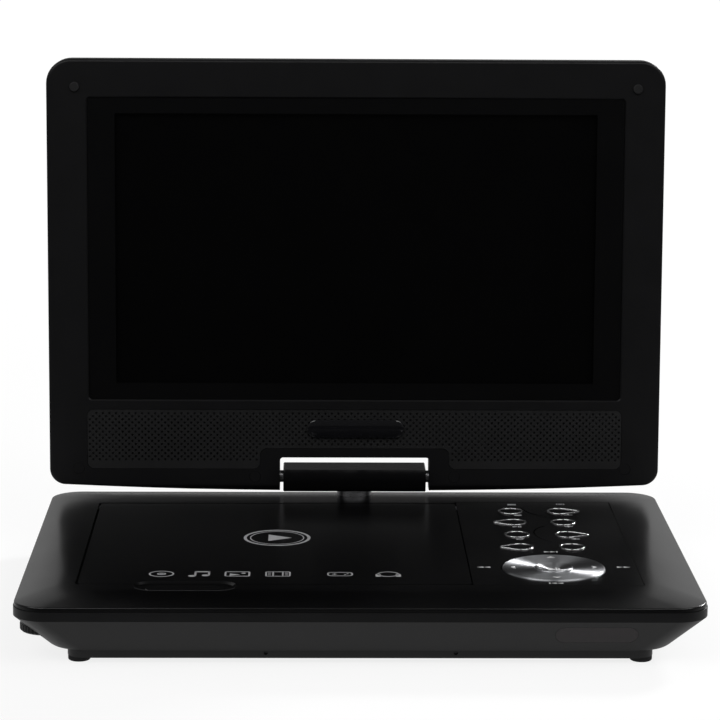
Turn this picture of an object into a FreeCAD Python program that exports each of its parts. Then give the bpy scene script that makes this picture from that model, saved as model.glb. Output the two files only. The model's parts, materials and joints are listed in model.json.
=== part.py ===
import FreeCAD, Part
import math
import os

# Portable disc player with a swivelling, folding screen.
# Millimetres, +Z up. The origin is on the table, under the middle of the base.
# The base stands on four rubber feet, with its disc lid and keys on top. The
# screen stands on a post near the back edge, which turns about Z, and it folds
# about a level axle at its lower edge. It is drawn leaning slightly back.

# Base: outline and heights
base_width = 252.0
base_depth = 188.0
corner_r = 12.0
top_z = 25.0
foot_height = 2.1
belly_band = 2.8
chamfer_height = 13.0
chamfer_side = 13.0
chamfer_end = 8.7
chamfer_round = 2.5
belly_side = 19.3
belly_r = 6.5
shell_parting_z = 21.3
parting_step = 0.3
crown_drop = 2.0
crown_width = 19.0
crown_steps = 5
rim_fillet = 0.6
wall = 2.0
chamfer_wall = 2.6
shell_gap = 0.1
peg_hole_x = 34.5
peg_hole_r = 0.75
peg_hole_z = 4.0
peg_hole_depth = 1.2

# Disc lid and the opening that it closes
lid_margin = 22.1
lid_front = -67.0
lid_back = 64.0
lid_thick = 2.2
lid_corner = 1.5
seam = 0.45
lid_barrel_r = 1.6
lid_pin_r = 0.8
lid_pin_in_lid = 5.0
lid_pin_in_shell = 4.0
pin_play = 0.04
lid_ring_r = 56.0
lid_ring_width = 1.2
lid_ring_drop = 0.9
hook_width = 6.0
hook_thick = 1.2
hook_drop = 6.8
hook_lip = 1.15
hook_lip_thick = 1.2
hook_setback = 2.4

# Disc bay
disc_offset = 0.1
disc_y = -3.5
well_r = 61.5
well_wall = 1.5
deck_floor_top = 16.8
deck_thick = 1.8
deck_gap = 0.5
deck_tongue = 2.6
deck_rim_gap = 0.05
trough_gap = 0.5
trough_wall = 1.4
window_half = 17.0
window_near = 17.5
window_margin = 0.1
hub_hole_r = 13.5
scoop_r = 12.0
scoop_depth = 3.8
scoop_angles = (225.0, 315.0)

# Open button and the sprung catch that it pushes aside
open_offset = 33.0
open_length = 29.0
open_width = 8.4
open_proud = 0.2
open_travel = 1.2
open_play = 0.2
open_flange = 0.6
open_flange_thick = 1.0
recess_length = 38.0
recess_width = 14.0
recess_depth = 0.7
recess_lap = 0.8
recess_slope = 1.2
leaf_width = 7.0
leaf_thick = 0.4
leaf_foot = 5.0
leaf_height = 2.5
leaf_reach = 3.2
leaf_rise = 0.95
leaf_lap = 0.75
leaf_tail = 4.2
leaf_tail_rise = 2.4
leaf_gap = 0.2
web_thick = 1.4

# Spindle motor and turntable
turntable_r = 12.5
turntable_top = 19.3
turntable_thick = 1.3
hub_r = 7.35
hub_height = 2.4
rotor_r = 11.0
rotor_wall = 0.8
rotor_height = 5.0
neck_hub_r = 6.0
stator_r = 9.0
spindle_shaft_r = 0.75
spindle_play = 0.03
motor_flange_r = 13.0
bearing_r = 2.8

# Laser sled, its drive and their chassis
chassis_z = 7.0
chassis_thick = 1.0
chassis_half = 37.0
chassis_back = 24.0
chassis_front = 70.0
rod_r = 1.5
rod_reach = 22.0
rod_z = 11.3
rod_play = 0.05
rod_block = 4.0
sled_width = 28.0
sled_length = 14.0
sled_height = 4.8
sled_rest = 24.5
sled_travel = 33.5
lens_r = 2.2
lens_top = 17.6
tower_wall = 0.5
lead_screw_r = 1.2
lead_screw_reach = 27.2
nut_length = 6.0
sled_motor_length = 13.0
sled_motor_size = 6.4
damper_r = 4.0
damper_neck_r = 2.4
damper_pin_r = 1.0
damper_inset = 5.5
damper_front_inset = 10.0

# Control panel
panel_left = 41.55
panel_margin = 21.6
panel_front = -67.9
panel_back = 66.0
panel_thick = 1.6
panel_floor = 1.2
panel_clearance = 0.15
panel_ledge = 2.5
column_offsets = (-9.975, 9.925)
row_y = (50.3, 31.0, 10.3, -9.9)
ring_r = 5.0
ring_width = 0.75
ring_proud = 0.25
drop_tip = 8.2
drop_tip_r = 0.8
key_proud = 0.2
key_play = 0.2
key_flange = 1.1
key_flange_thick = 0.9
key_travel = 0.4
key_stem_r = 1.4

# Direction dial and its centre button
dial_offset = 0.125
dial_y = -43.0
dial_r = 19.4
dial_play = 0.4
dial_proud = 0.6
dial_dish = 0.5
dial_edge = 1.1
dial_thick = 1.8
dial_skirt_r = 8.8
pivot_z = 21.8
pivot_ring_r = 11.0
pivot_ring_width = 1.2
pivot_ring_thick = 1.4
pivot_ring_gap = 0.6
pivot_pin_r = 0.5
pivot_post = 2.4
ok_r = 7.3
ok_play = 0.25
ok_proud = 0.65
ok_flange = 1.1
ok_travel = 0.4

# Boards, switches and battery
board_thick = 1.2
key_board_top = 19.3
key_board_margin = 6.5
switch_size = 5.0
switch_height = 1.0
dome_height = 0.3
key_rest_gap = 0.05
stake_r = 0.8
main_board_lap = 1.05
main_board_margin = 13.0
main_board_front = -71.0
main_board_back = 58.0
chip_height = 1.4
main_chips = ((62.0, 20.0, 18.0), (84.0, 26.0, 12.0), (70.0, -14.0, 14.0), (56.0, -40.0, 10.0), (84.0, -44.0, 9.0))
battery_offset = 3.45
battery_margin = 26.0
battery_front = -64.0
battery_back = 46.0
battery_height = 8.4
cell_count = 3
cell_gap = 0.6
post_r = 1.9
small_screw_r = 0.9
small_head_r = 1.8
small_head = 0.9

# Left side: volume wheel, jacks and power slider
wheel_r = 10.0
wheel_reach = 1.6
wheel_y = -74.0
wheel_z = 11.5
wheel_thick = 3.2
wheel_axle_r = 1.5
wheel_bore_play = 0.05
wheel_play = 0.35
wheel_notches = 40
wheel_notch_r = 0.4
wheel_edge = 0.6
land_inset = 8.4
land_thick = 2.4
pocket_r = 4.6
jack_z = 12.8
jack_nose_r = 3.6
jack_nose = 4.0
jack_body = 9.0
jack_depth = 12.0
phones_y = -50.0
av_y = -34.0
dc_y = -17.0
plug_bore_r = 1.8
plug_bore_depth = 14.0
dc_bore_r = 2.8
dc_bore_depth = 9.0
dc_pin_r = 0.65
power_y = 6.0
power_travel = 4.0
power_knob_length = 6.0
power_knob_height = 2.6
power_knob_reach = 2.0
power_flange = 1.2
power_slot_play = 0.3
jack_board_gap = 2.2

# Right side: host socket and card slot
usb_y = -25.0
usb_width = 13.4
usb_height = 5.8
usb_tongue = 1.9
card_y = -57.0
card_width = 26.0
card_height = 4.2
port_depth = 14.0
port_shell = 0.4
port_margin = 1.7

# Receiver window in the front slope
ir_margin = 25.9
ir_length = 29.9
ir_low = 4.6
ir_high = 12.9
ir_corner = 4.0
ir_thick = 0.9
ir_ledge = 1.0
ir_play = 0.08
receiver_margin = 44.5
receiver_size = 5.0
receiver_drop = 7.0
receiver_back = 9.5

# Feet and base screws
foot_r = 4.1
foot_stem_r = 3.3
foot_side = 23.6
foot_end = 14.5
foot_recess = 0.6
foot_edge = 0.7
screw_side = 36.0
screw_end = 18.0
screw_half = 45.0
boss_r = 3.4
boss_split_z = 14.0
screw_core_r = 1.1
screw_head_r = 2.4
screw_head = 1.3
screw_head_deep = 1.7

# Swivel post and its bearing in the base
swivel_y = 83.0
neck_r = 7.1
neck_play = 0.2
neck_step = 3.7
journal_r = 5.0
journal_play = 0.05
cable_bore_r = 2.4
bearing_thick = 2.0
bearing_half = 22.0
bearing_front = 12.5
bearing_back = 8.0
bearing_washer = 0.4
bearing_screw_x = 16.5
bearing_screw_y = 5.0
bearing_boss_r = 2.6
nut_r = 6.8
nut_thick = 2.0
nut_gap = 0.1

# Hinge block and tilt axle
axle_height = 7.2
block_half = 29.5
block_r = 8.4
block_low = 5.0
block_high = 4.3
block_split = 1.6
block_edge = 0.5
hinge_core_half = 14.0
hinge_core_depth = 6.6
hinge_core_low = 3.4
hinge_core_high = 3.1
axle_r = 2.5
axle_seat = 4.5
axle_channel_play = 0.1
axle_past_bracket = 1.5

# Screen: outline from the tilt axle, X across, Z up, front face towards -Y
lean_deg = 1.5
screen_width = 252.0
screen_top = 173.0
screen_low_mid = 5.3
screen_low_side = 2.8
screen_low_inset = 10.0
screen_corner_top = 10.0
screen_corner_low = 6.6
screen_thick = 12.4
screen_parting = 0.6
parting_groove = 0.3
bezel_edge = 1.3
back_edge = 3.0
swing_r = 6.6
bezel_wall = 1.8
screen_wall = 2.2
notch_half = 30.9
notch_top = 9.0
notch_corner = 1.4
opening_side = 16.4
opening_low = 33.1
opening_high = 157.5
opening_corner = 1.6
opening_bevel = 0.5

# Display stack behind the bezel's opening
active_side = 27.65
active_low = 39.9
active_high = 151.05
active_corner = 0.6
surround_recess = 0.7
surround_lap = 1.8
surround_flange = 1.0
surround_play = 0.12
glass_thick = 1.5
glass_margin = 4.0
backlight_thick = 3.0
display_post_r = 3.0
driver_half = 55.0
driver_low = 68.0
driver_high = 116.0
driver_chip = 1.2
driver_chips = ((-30.0, 92.0, 16.0), (8.0, 98.0, 20.0), (38.0, 84.0, 10.0))

# Speaker grille, speakers and badge plate
grille_side = 15.5
grille_low = 4.1
grille_high = 29.2
grille_step_half = 39.0
grille_step_z = 12.7
grille_corner = 2.9
grille_recess = 0.35
grille_thick = 0.8
grille_play = 0.12
speaker_side = 50.0
speaker_half = 24.0
speaker_low = 5.4
speaker_high = 28.2
speaker_rim = 2.2
speaker_flange = 1.2
speaker_depth = 5.6
speaker_dome_r = 5.0
speaker_corner = 3.0
badge_x = 0.4
badge_z = 21.05
badge_length = 40.0
badge_height = 7.6
badge_proud = 0.35

# Bumpers, plugs and screws of the screen
bumper_side = 11.5
bumper_z = 161.7
bumper_r = 2.05
bumper_proud = 1.0
bumper_seat = 0.8
plug_left = 12.0
plug_right = 14.0
plug_z = 4.3
plug_near = (41.2, 0.9)
plug_r = 2.4
plug_seat = 0.9
case_screw_side = 8.0
case_screw_z = (14.0, 84.0, 152.0)
case_boss_r = 3.0
case_head_r = 2.2
case_head_deep = 1.1

# Tilt brackets in the screen
bracket_r = 3.9
bracket_room = 0.1
bracket_play = 0.05
bracket_width = 12.0
bracket_gap = 0.25
bracket_plate = 1.6
bracket_top = 24.0
bracket_screw_z = (12.0, 20.0)

# Values that follow from those above
half_w = base_width / 2
half_d = base_depth / 2
lid_left = -(half_w - lid_margin)
panel_right = half_w - panel_margin
panel_middle = (panel_left + panel_right) / 2
column_x = tuple(round(panel_middle + offset, 3) for offset in column_offsets)
dial_x = panel_middle + dial_offset
main_board_left = panel_left - main_board_lap
main_board_right = half_w - main_board_margin
battery_left = panel_left + battery_offset
battery_right = half_w - battery_margin
land_x = half_w - land_inset
ir_right = half_w - ir_margin
ir_left = ir_right - ir_length
receiver_x = half_w - receiver_margin
foot_x = half_w - foot_side
foot_y = half_d - foot_end
screw_x = half_w - screw_side
screw_y = half_d - screw_end
screw_spots = (
    *[(side * screw_x, end * screw_y) for end in (-1, 1) for side in (1, -1)],
    *[(side * screw_half, screw_y) for side in (1, -1)],
)
belly_top_z = foot_height + belly_band
side_z = belly_top_z + chamfer_height
inner_floor = foot_height + wall
crown_rim_z = top_z - crown_drop
slope_angle = math.atan2(chamfer_end, chamfer_height)
lid_right = panel_left - seam
disc_x = (lid_left + lid_right) / 2 + disc_offset
open_x = disc_x - open_offset
jack_board_edge = well_r + well_wall - disc_x + jack_board_gap
bay_right = lid_right
bay_left = lid_left - seam
bay_front = lid_front - seam
lid_axis_y = lid_back - lid_barrel_r
lid_axis_z = top_z - lid_barrel_r
lid_under = top_z - lid_thick
deck_top = lid_under - deck_gap
deck_under = deck_top - deck_thick
deck_back = lid_axis_y - lid_barrel_r - trough_gap
panel_bottom = top_z - panel_thick
panel_floor_z = panel_bottom - panel_floor
open_y = lid_front - seam / 2 - open_width / 2
open_low = top_z - wall - shell_gap - open_flange_thick
open_low_z = open_low - open_travel - 0.6
hook_front = open_y + open_width / 2 + open_play + hook_setback
hook_back = hook_front + hook_thick
lip_z = lid_under - hook_drop
wheel_x = -(half_w - wheel_reach - wheel_r)
wheel_low = wheel_z - wheel_thick / 2 - wheel_play
wheel_high = wheel_z + wheel_thick / 2 + wheel_play
key_board_low = key_board_top - board_thick
ok_low = key_board_top + dome_height + ok_travel + key_rest_gap
main_board_z = jack_z + usb_height / 2
jack_board_z = jack_z + jack_body / 2
bearing_top = top_z - neck_step - bearing_washer
axle_z = top_z + axle_height
chassis_top = chassis_z + chassis_thick
rotor_top = chassis_top + rotor_height + 0.2
half_screen = screen_width / 2
screen_low_x = half_screen - screen_low_inset
opening_half = half_screen - opening_side
active_half = half_screen - active_side
grille_half = half_screen - grille_side
speaker_x = half_screen - speaker_side
bumper_x = half_screen - bumper_side
case_screw_x = half_screen - case_screw_side
plug_spots = (
    (plug_left - half_screen, plug_z),
    (-plug_near[0], plug_near[1]),
    plug_near,
    (half_screen - plug_right, plug_z),
)
screen_front = -screen_thick / 2
screen_back = screen_thick / 2
bezel_inner = screen_front + bezel_wall
cover_inner = screen_back - bezel_wall
surround_back = bezel_inner + surround_flange
glass_back = surround_back + glass_thick
backlight_back = glass_back + backlight_thick
bracket_x = notch_half + screen_wall + bracket_gap
sled_y = disc_y - sled_rest
sled_back = sled_y + sled_length / 2
sled_front = sled_y - sled_travel - sled_length / 2
lead_screw_x = disc_x + lead_screw_reach
rod_blocks = (
    (sled_back + 1.2, sled_back + 1.2 + rod_block),
    (sled_front - 1.0 - rod_block, sled_front - 1.0),
)
sled_motor_y = rod_blocks[0][1] + 0.2
X = FreeCAD.Vector(1, 0, 0)
Z = FreeCAD.Vector(0, 0, 1)
ORIGIN = FreeCAD.Vector(0, 0, 0)
FAR = 400.0
OVER = 1.0


def vec(x, y, z):
    return FreeCAD.Vector(x, y, z)


def box(x0, x1, y0, y1, z0, z1):
    return Part.makeBox(x1 - x0, y1 - y0, z1 - z0, vec(x0, y0, z0))


def rod(r, start, end):
    """A round bar from one point to another."""
    a, b = vec(*start), vec(*end)
    return Part.makeCylinder(r, (b - a).Length, a, b - a)


def disc(r, x, y, z0, z1):
    """An upright round bar."""
    return rod(r, (x, y, z0), (x, y, z1))


def across(r, x, z, y0, y1):
    """A round bar along Y."""
    return rod(r, (x, y0, z), (x, y1, z))


def join(*shapes):
    shape = shapes[0].multiFuse(list(shapes[1:])) if len(shapes) > 1 else shapes[0]
    return shape.removeSplitter()


def less(shape, *tools):
    return shape.cut(list(tools)) if tools else shape


def moved(shape, x, y, z):
    shape = shape.copy()
    shape.translate(vec(x, y, z))
    return shape


def wire_of(parts, place):
    """A closed wire of straight and round stretches, each given by 2 or 3 flat points."""
    edges = []
    for points in parts:
        p = [place(*q) for q in points]
        if (p[0] - p[-1]).Length > 1e-6:
            edges.append(Part.LineSegment(*p).toShape() if len(p) == 2 else Part.Arc(*p).toShape())
    return Part.Wire(edges)


def rounded(points, r, place):
    """A closed wire through corner points, with every corner rounded to the same radius."""
    arcs = []
    for k, (x, y) in enumerate(points):
        (ax, ay), (bx, by) = points[k - 1], points[(k + 1) % len(points)]
        la, lb = math.hypot(ax - x, ay - y), math.hypot(bx - x, by - y)
        ux, uy, vx, vy = (ax - x) / la, (ay - y) / la, (bx - x) / lb, (by - y) / lb
        half = math.acos(ux * vx + uy * vy) / 2
        run, mid = r / math.tan(half), math.hypot(ux + vx, uy + vy)
        wx, wy = (ux + vx) / mid, (uy + vy) / mid
        bow = r / math.sin(half) - r
        start, end = (x + ux * run, y + uy * run), (x + vx * run, y + vy * run)
        arcs.append([start, (x + wx * bow, y + wy * bow), end])
    parts = []
    for k, arc in enumerate(arcs):
        parts += [arc, [arc[-1], arcs[(k + 1) % len(arcs)][0]]]
    return wire_of(parts, place)


def corners(x0, x1, y0, y1):
    return [(x0, y0), (x1, y0), (x1, y1), (x0, y1)]


def slab(x0, x1, y0, y1, r, z0, z1):
    """An upright block with rounded corners in plan."""
    wire = rounded(corners(x0, x1, y0, y1), r, lambda x, y: vec(x, y, z0))
    return Part.Face(wire).extrude(vec(0, 0, z1 - z0))


def pane(x0, x1, z0, z1, r, y0, y1):
    """A block with rounded corners as seen from the front."""
    wire = rounded(corners(x0, x1, z0, z1), r, lambda x, z: vec(x, y0, z))
    return Part.Face(wire).extrude(vec(0, y1 - y0, 0))


def pill(x, y, length, width, z0, z1):
    """An upright block with round ends."""
    return slab(x - length / 2, x + length / 2, y - width / 2, y + width / 2, width / 2, z0, z1)


def prism(points, x0, x1):
    """A straight block along X, from corner points in Y and Z."""
    p = [vec(x0, y, z) for y, z in points]
    return Part.Face(Part.makePolygon(p + p[:1])).extrude(vec(x1 - x0, 0, 0))


def turned(points, x, y):
    """A round piece about an upright line, from its profile's radii and heights."""
    p = [vec(x + r, y, z) for r, z in points]
    return Part.Face(Part.makePolygon(p + p[:1])).revolve(vec(x, y, 0), Z, 360)


def side_box(side, x0, x1, y0, y1, z0, z1):
    """A box on the right (1) or the left (-1), by its distances from the middle."""
    return box(x0, x1, y0, y1, z0, z1) if side > 0 else box(-x1, -x0, y0, y1, z0, z1)


def edges_at_x(shape, x):
    return [e for e in shape.Edges if abs(e.BoundBox.XMin - x) + abs(e.BoundBox.XMax - x) < 1e-3]


def edges_at_y(shape, y):
    return [e for e in shape.Edges if abs(e.BoundBox.YMin - y) + abs(e.BoundBox.YMax - y) < 1e-3]


def edges_at_z(shape, z):
    return [e for e in shape.Edges if abs(e.BoundBox.ZMin - z) + abs(e.BoundBox.ZMax - z) < 1e-3]


def save(name, *shapes):
    """Writes the solids of one sub-part, and prints a line about them."""
    solids = [s for shape in shapes for s in shape.Solids]
    shape = solids[0] if len(solids) == 1 else Part.makeCompound(solids)
    shape.exportStep(f"parts/{name}.step")
    state = "" if shape.isValid() else "INVALID"
    print(f"{name:22s} {len(solids):3d} solids {shape.Volume:11.1f} mm3 {state}")


# Base shells


def ring_wire(half_x, half_y, r, z):
    return rounded(corners(-half_x, half_x, -half_y, half_y), r, lambda x, y: vec(x, y, z))


def ring_block(half_x, half_y, r, z0, z1):
    return slab(-half_x, half_x, -half_y, half_y, r, z0, z1)


def crowned(inset, lower, bottom_z):
    """The base's top form: a flat middle whose edge falls away in a curve, on upright sides."""
    half_x, half_y = half_w - inset, half_d - inset
    wires = []
    for k in range(crown_steps + 1):
        share = k / crown_steps
        z = top_z - lower - crown_drop * (1 - share) ** 2
        wires.append(ring_wire(half_x - crown_width * share, half_y - crown_width * share, corner_r, z))
    sides = ring_block(half_x, half_y, corner_r, bottom_z, crown_rim_z - lower)
    return Part.makeLoft(wires, True, False).fuse(sides).removeSplitter()


def recess_tool():
    """The shallow finger recess round the open button, as a cutter."""
    y = open_y + (recess_width - open_width) / 2 - recess_lap
    half, r = recess_length / 2, recess_width / 2
    wires = []
    for z, shrink in ((top_z - recess_depth, recess_slope), (top_z + 0.01, 0.0)):
        points = corners(open_x - half + shrink, open_x + half - shrink, y - r + shrink, y + r - shrink)
        wires.append(rounded(points, (r - shrink) * 0.98, lambda a, b, z=z: vec(a, b, z)))
    return Part.makeLoft(wires, True, True)


def key_places():
    """Each key's place and the side its tip points to: -1 left, 1 right, 0 round."""
    places = []
    for column, x in enumerate(column_x):
        for row, y in enumerate(row_y):
            tipped = (row + column) % 2 == 1
            places.append((x, y, 2 * column - 1 if tipped else 0))
    return places


def key_block(x, y, side, grow, z0, z1):
    """The plan of one key as an upright block: round, or drawn out to a tip on one side."""
    r, tip_r = ring_r - ring_width + grow, drop_tip_r + grow
    body = disc(r, x, y, z0, z1)
    if not side:
        return body
    reach = drop_tip - ring_width - drop_tip_r
    lean = math.acos((r - tip_r) / reach)
    near = (side * r * math.cos(lean), r * math.sin(lean))
    far = (side * (reach + tip_r * math.cos(lean)), tip_r * math.sin(lean))
    points = [vec(x + a, y + b, z0) for a, b in (near, far, (far[0], -far[1]), (near[0], -near[1]))]
    wedge = Part.Face(Part.makePolygon(points + points[:1])).extrude(vec(0, 0, z1 - z0))
    return join(body, wedge, disc(tip_r, x + side * reach, y, z0, z1))


def lid_pin_spans():
    return (
        (bay_left - lid_pin_in_shell, lid_left + lid_pin_in_lid),
        (lid_right - lid_pin_in_lid, panel_left + lid_pin_in_shell),
    )


def lid_pins(grow=0.0):
    y, z = lid_axis_y, lid_axis_z
    return [rod(lid_pin_r + grow, (x0, y, z), (x1, y, z)) for x0, x1 in lid_pin_spans()]


def lid_ears():
    """Blocks under the top shell at both ends of the lid's back edge, which hold its hinge pins."""
    (left, _), (_, right) = lid_pin_spans()
    reach = lid_pin_r + trough_wall
    y0, y1, low = lid_axis_y - reach, lid_axis_y + reach, lid_axis_z - reach - 0.4
    left_ear = box(left - trough_wall, bay_left, y0, y1, low, top_z - wall)
    return [left_ear, box(panel_left, right + trough_wall, y0, y1, low, panel_floor_z)]


def bearing_spots():
    return [(side * bearing_screw_x, swivel_y - bearing_screw_y) for side in (-1, 1)]


def key_board_spots():
    x0, x1 = panel_left + key_board_margin + 3, panel_right - key_board_margin - 3
    y0, y1 = panel_front + key_board_margin, panel_back - key_board_margin
    return [(x, y) for x in (x0, x1) for y in (y0, y1)]


def top_shell():
    outer = crowned(parting_step, 0, shell_parting_z)
    outer = outer.makeFillet(rim_fillet, edges_at_z(outer, crown_rim_z))
    shape = outer.cut(crowned(wall + parting_step, wall, shell_parting_z - OVER))
    y0, y1 = panel_front - panel_ledge, panel_back + panel_ledge
    add = [box(panel_left, panel_right + panel_ledge, y0, y1, panel_floor_z, top_z - wall)]
    add += [disc(boss_r, x, y, boss_split_z, top_z - wall) for x, y in screw_spots]
    add += [disc(bearing_boss_r, x, y, bearing_top, top_z - wall) for x, y in bearing_spots()]
    for x, y in key_board_spots():
        add.append(disc(post_r, x, y, key_board_top, panel_floor_z))
        add.append(disc(stake_r, x, y, key_board_low - 0.5, key_board_top))
    shape = join(shape, *add, *lid_ears())
    c, play = panel_clearance, 2 * open_play
    y0, y1 = panel_front - c, panel_back + c
    cuts = [
        slab(panel_left - OVER, panel_right + c, y0, y1, lid_corner / 2, panel_bottom, top_z + OVER),
        box(bay_left, panel_left, bay_front, lid_back + seam, panel_floor_z - OVER, top_z + OVER),
        recess_tool(),
        pill(open_x, open_y, open_length + play, open_width + play, shell_parting_z, top_z + OVER),
        disc(dial_r + dial_play, dial_x, dial_y, panel_floor_z - OVER, top_z),
        disc(neck_r + neck_play, 0, swivel_y, shell_parting_z - OVER, top_z + OVER),
    ]
    cuts += [key_block(x, y, side, key_play, panel_floor_z - OVER, top_z) for x, y, side in key_places()]
    cuts += [disc(screw_core_r, x, y, boss_split_z - OVER, boss_split_z + 6) for x, y in screw_spots]
    cuts += [disc(small_screw_r, x, y, bearing_top - OVER, top_z - wall - 0.4) for x, y in bearing_spots()]
    return less(shape, *cuts, *lid_pins())


def slope_place(x, up, out):
    """A point on the front slope: up along it from its lower edge, and out of it."""
    c, s = math.cos(slope_angle), math.sin(slope_angle)
    return vec(x, -half_d + chamfer_end - up * s - out * c, belly_top_z + up * c - out * s)


def slope_block(x0, x1, up0, up1, r, out0, out1):
    wire = rounded(corners(x0, x1, up0, up1), r, lambda x, up: slope_place(x, up, out0))
    return Part.Face(wire).extrude(slope_place(0, 0, out1) - slope_place(0, 0, out0))


def side_inset(z):
    """How far the sloping side stands in from the upright side at a height."""
    return chamfer_side * (side_z - z) / chamfer_height


def end_inset(z):
    return chamfer_end * (side_z - z) / chamfer_height


def slope_form(shrink):
    """The housing's sloping part: ruled between level outlines, rounded at its lower side edges."""
    bend = math.radians(22.5)
    run = chamfer_round * math.tan(bend)
    drop = run / math.sqrt(2)
    rise, draw = chamfer_round * (1 - math.cos(bend)), chamfer_round * math.sin(bend)
    levels = [
        (belly_top_z, chamfer_side + run),
        (belly_top_z + rise, chamfer_side + run - draw),
        (belly_top_z + drop, side_inset(belly_top_z + drop)),
        (side_z, 0.0),
    ]
    wires = []
    for z, side in levels:
        wires.append(ring_wire(half_w - shrink - side, half_d - shrink - end_inset(z), corner_r - shrink, z))
    return Part.makeLoft(wires, True, True)


def outside_slope():
    """All that lies outside the sloping sides, so that a block added inside can be trimmed."""
    x, y = half_w + OVER, half_d + OVER
    return box(-x, x, -y, y, belly_top_z, side_z).cut(slope_form(shell_gap))


def land_spans():
    """The flat-bottomed pockets' blocks: side, and their reach in Y."""
    left = (-1, phones_y - pocket_r - 1.5, power_y + power_travel + power_knob_length + 2)
    right = (1, card_y - card_width / 2 - port_margin - 2, usb_y + usb_width / 2 + port_margin + 2)
    return left, right


def lands():
    low, inner = jack_z - pocket_r - 1.4, land_x - land_thick
    outside = outside_slope()
    return [side_box(side, inner, half_w, y0, y1, low, side_z).cut(outside) for side, y0, y1 in land_spans()]


def damper_spots():
    x, front = chassis_half - damper_inset, disc_y - chassis_front + damper_front_inset
    return [(disc_x - x, front), (disc_x + x, front), (disc_x, disc_y + chassis_back - damper_inset)]


def main_posts():
    """Posts of the main board: place and top."""
    x0, x1 = main_board_left + post_r + 0.2, battery_right + post_r + 0.5
    y0, y1 = main_board_front + 22, main_board_back - 6
    between = (usb_y - usb_width / 2 + card_y + card_width / 2) / 2
    return [(x, y, main_board_z) for x, y in ((x0, y0), (x0, y1), (x1, between), (x1, y1))]


def jack_posts():
    x = -(land_x - jack_nose - jack_depth - post_r - 0.6)
    return [(x, phones_y + 2, jack_board_z), (x, power_y + power_travel + 6, jack_board_z)]


def port_cuts(side, y, width, height):
    """A slot through a land, and the wider pocket outside it."""
    w, h, m = width / 2, height / 2, port_margin
    pocket = side_box(side, land_x, half_w + OVER, y - w - m, y + w + m, jack_z - h - m, jack_z + h + m)
    hole = side_box(side, land_x - land_thick - OVER, land_x + OVER, y - w, y + w, jack_z - h, jack_z + h)
    return [pocket, hole]


def foot_spots():
    return [(sx * foot_x, sy * foot_y) for sx in (-1, 1) for sy in (-1, 1)]


def housing_form():
    outer = join(
        slope_form(0.0),
        ring_block(half_w, half_d, corner_r, side_z, shell_parting_z),
        ring_block(half_w - belly_side, half_d - chamfer_end, belly_r, foot_height, belly_top_z),
    )
    z, r = belly_top_z + wall, corner_r - wall
    slope = [
        ring_wire(half_w - chamfer_wall - side_inset(z), half_d - wall - end_inset(z), r, z),
        ring_wire(half_w - chamfer_wall, half_d - wall, r, side_z),
    ]
    inner = join(
        Part.makeLoft(slope, True, True),
        ring_block(half_w - chamfer_wall, half_d - wall, r, side_z, shell_parting_z + OVER),
        ring_block(half_w - belly_side - wall, half_d - chamfer_end - wall, belly_r - wall, inner_floor, z),
    )
    return outer.cut(inner)


def lower_housing():
    add = [disc(boss_r, x, y, inner_floor, boss_split_z - shell_gap) for x, y in screw_spots]
    add += [disc(post_r, x, y, inner_floor, z) for x, y, z in main_posts() + jack_posts()]
    for x, y in damper_spots():
        add.append(disc(damper_r, x, y, inner_floor, chassis_z - 1))
        add.append(disc(damper_pin_r, x, y, inner_floor, chassis_top + 2))
    add.append(disc(wheel_axle_r, wheel_x, wheel_y, belly_top_z + wall, wheel_high).cut(outside_slope()))
    shape = join(housing_form(), *add, *lands())
    slot = disc(wheel_r + wheel_play, wheel_x, wheel_y, wheel_low, wheel_high)
    cuts = [slot.cut(disc(wheel_axle_r, wheel_x, wheel_y, wheel_low, wheel_high))]
    cuts.append(disc(small_screw_r, wheel_x, wheel_y, wheel_high - 4.5, wheel_high + OVER))
    for y in (phones_y, av_y, dc_y):
        cuts.append(rod(pocket_r, (-half_w - OVER, y, jack_z), (-land_x, y, jack_z)))
        inner = -land_x + land_thick + OVER
        cuts.append(rod(jack_nose_r + shell_gap, (-half_w, y, jack_z), (inner, y, jack_z)))
    g, p = 2 * shell_gap, 2 * power_slot_play
    length, height = power_knob_length + power_travel + p, power_knob_height + p
    cuts += port_cuts(-1, power_y + power_travel / 2, length, height)
    cuts += port_cuts(1, usb_y, usb_width + g, usb_height + g)
    cuts += port_cuts(1, card_y, card_width + g, card_height + g)
    p, m = ir_play, ir_ledge
    cuts.append(slope_block(ir_left - p, ir_right + p, ir_low - p, ir_high + p, ir_corner, -ir_thick, OVER))
    inner = -wall - OVER
    cuts.append(slope_block(ir_left + m, ir_right - m, ir_low + m, ir_high - m, ir_corner - m, inner, OVER))
    for x, y in screw_spots:
        cuts.append(disc(screw_core_r + 0.2, x, y, foot_height - OVER, boss_split_z))
        cuts.append(disc(screw_head_r + 0.2, x, y, foot_height - OVER, foot_height + screw_head_deep))
    cuts += [disc(foot_stem_r, x, y, foot_height - OVER, foot_height + foot_recess) for x, y in foot_spots()]
    cuts += [disc(small_screw_r, x, y, z - 6, z + OVER) for x, y, z in main_posts() + jack_posts()]
    y = -half_d + chamfer_end
    cuts += [across(peg_hole_r, s * peg_hole_x, peg_hole_z, y - OVER, y + peg_hole_depth) for s in (-1, 1)]
    return less(shape, *cuts)


def feet():
    solids = []
    for x, y in foot_spots():
        pad = disc(foot_r, x, y, 0, foot_height)
        pad = pad.makeFillet(foot_edge, edges_at_z(pad, 0))
        solids.append(join(pad, disc(foot_stem_r, x, y, foot_height - 0.5, foot_height + foot_recess)))
    return solids


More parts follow.
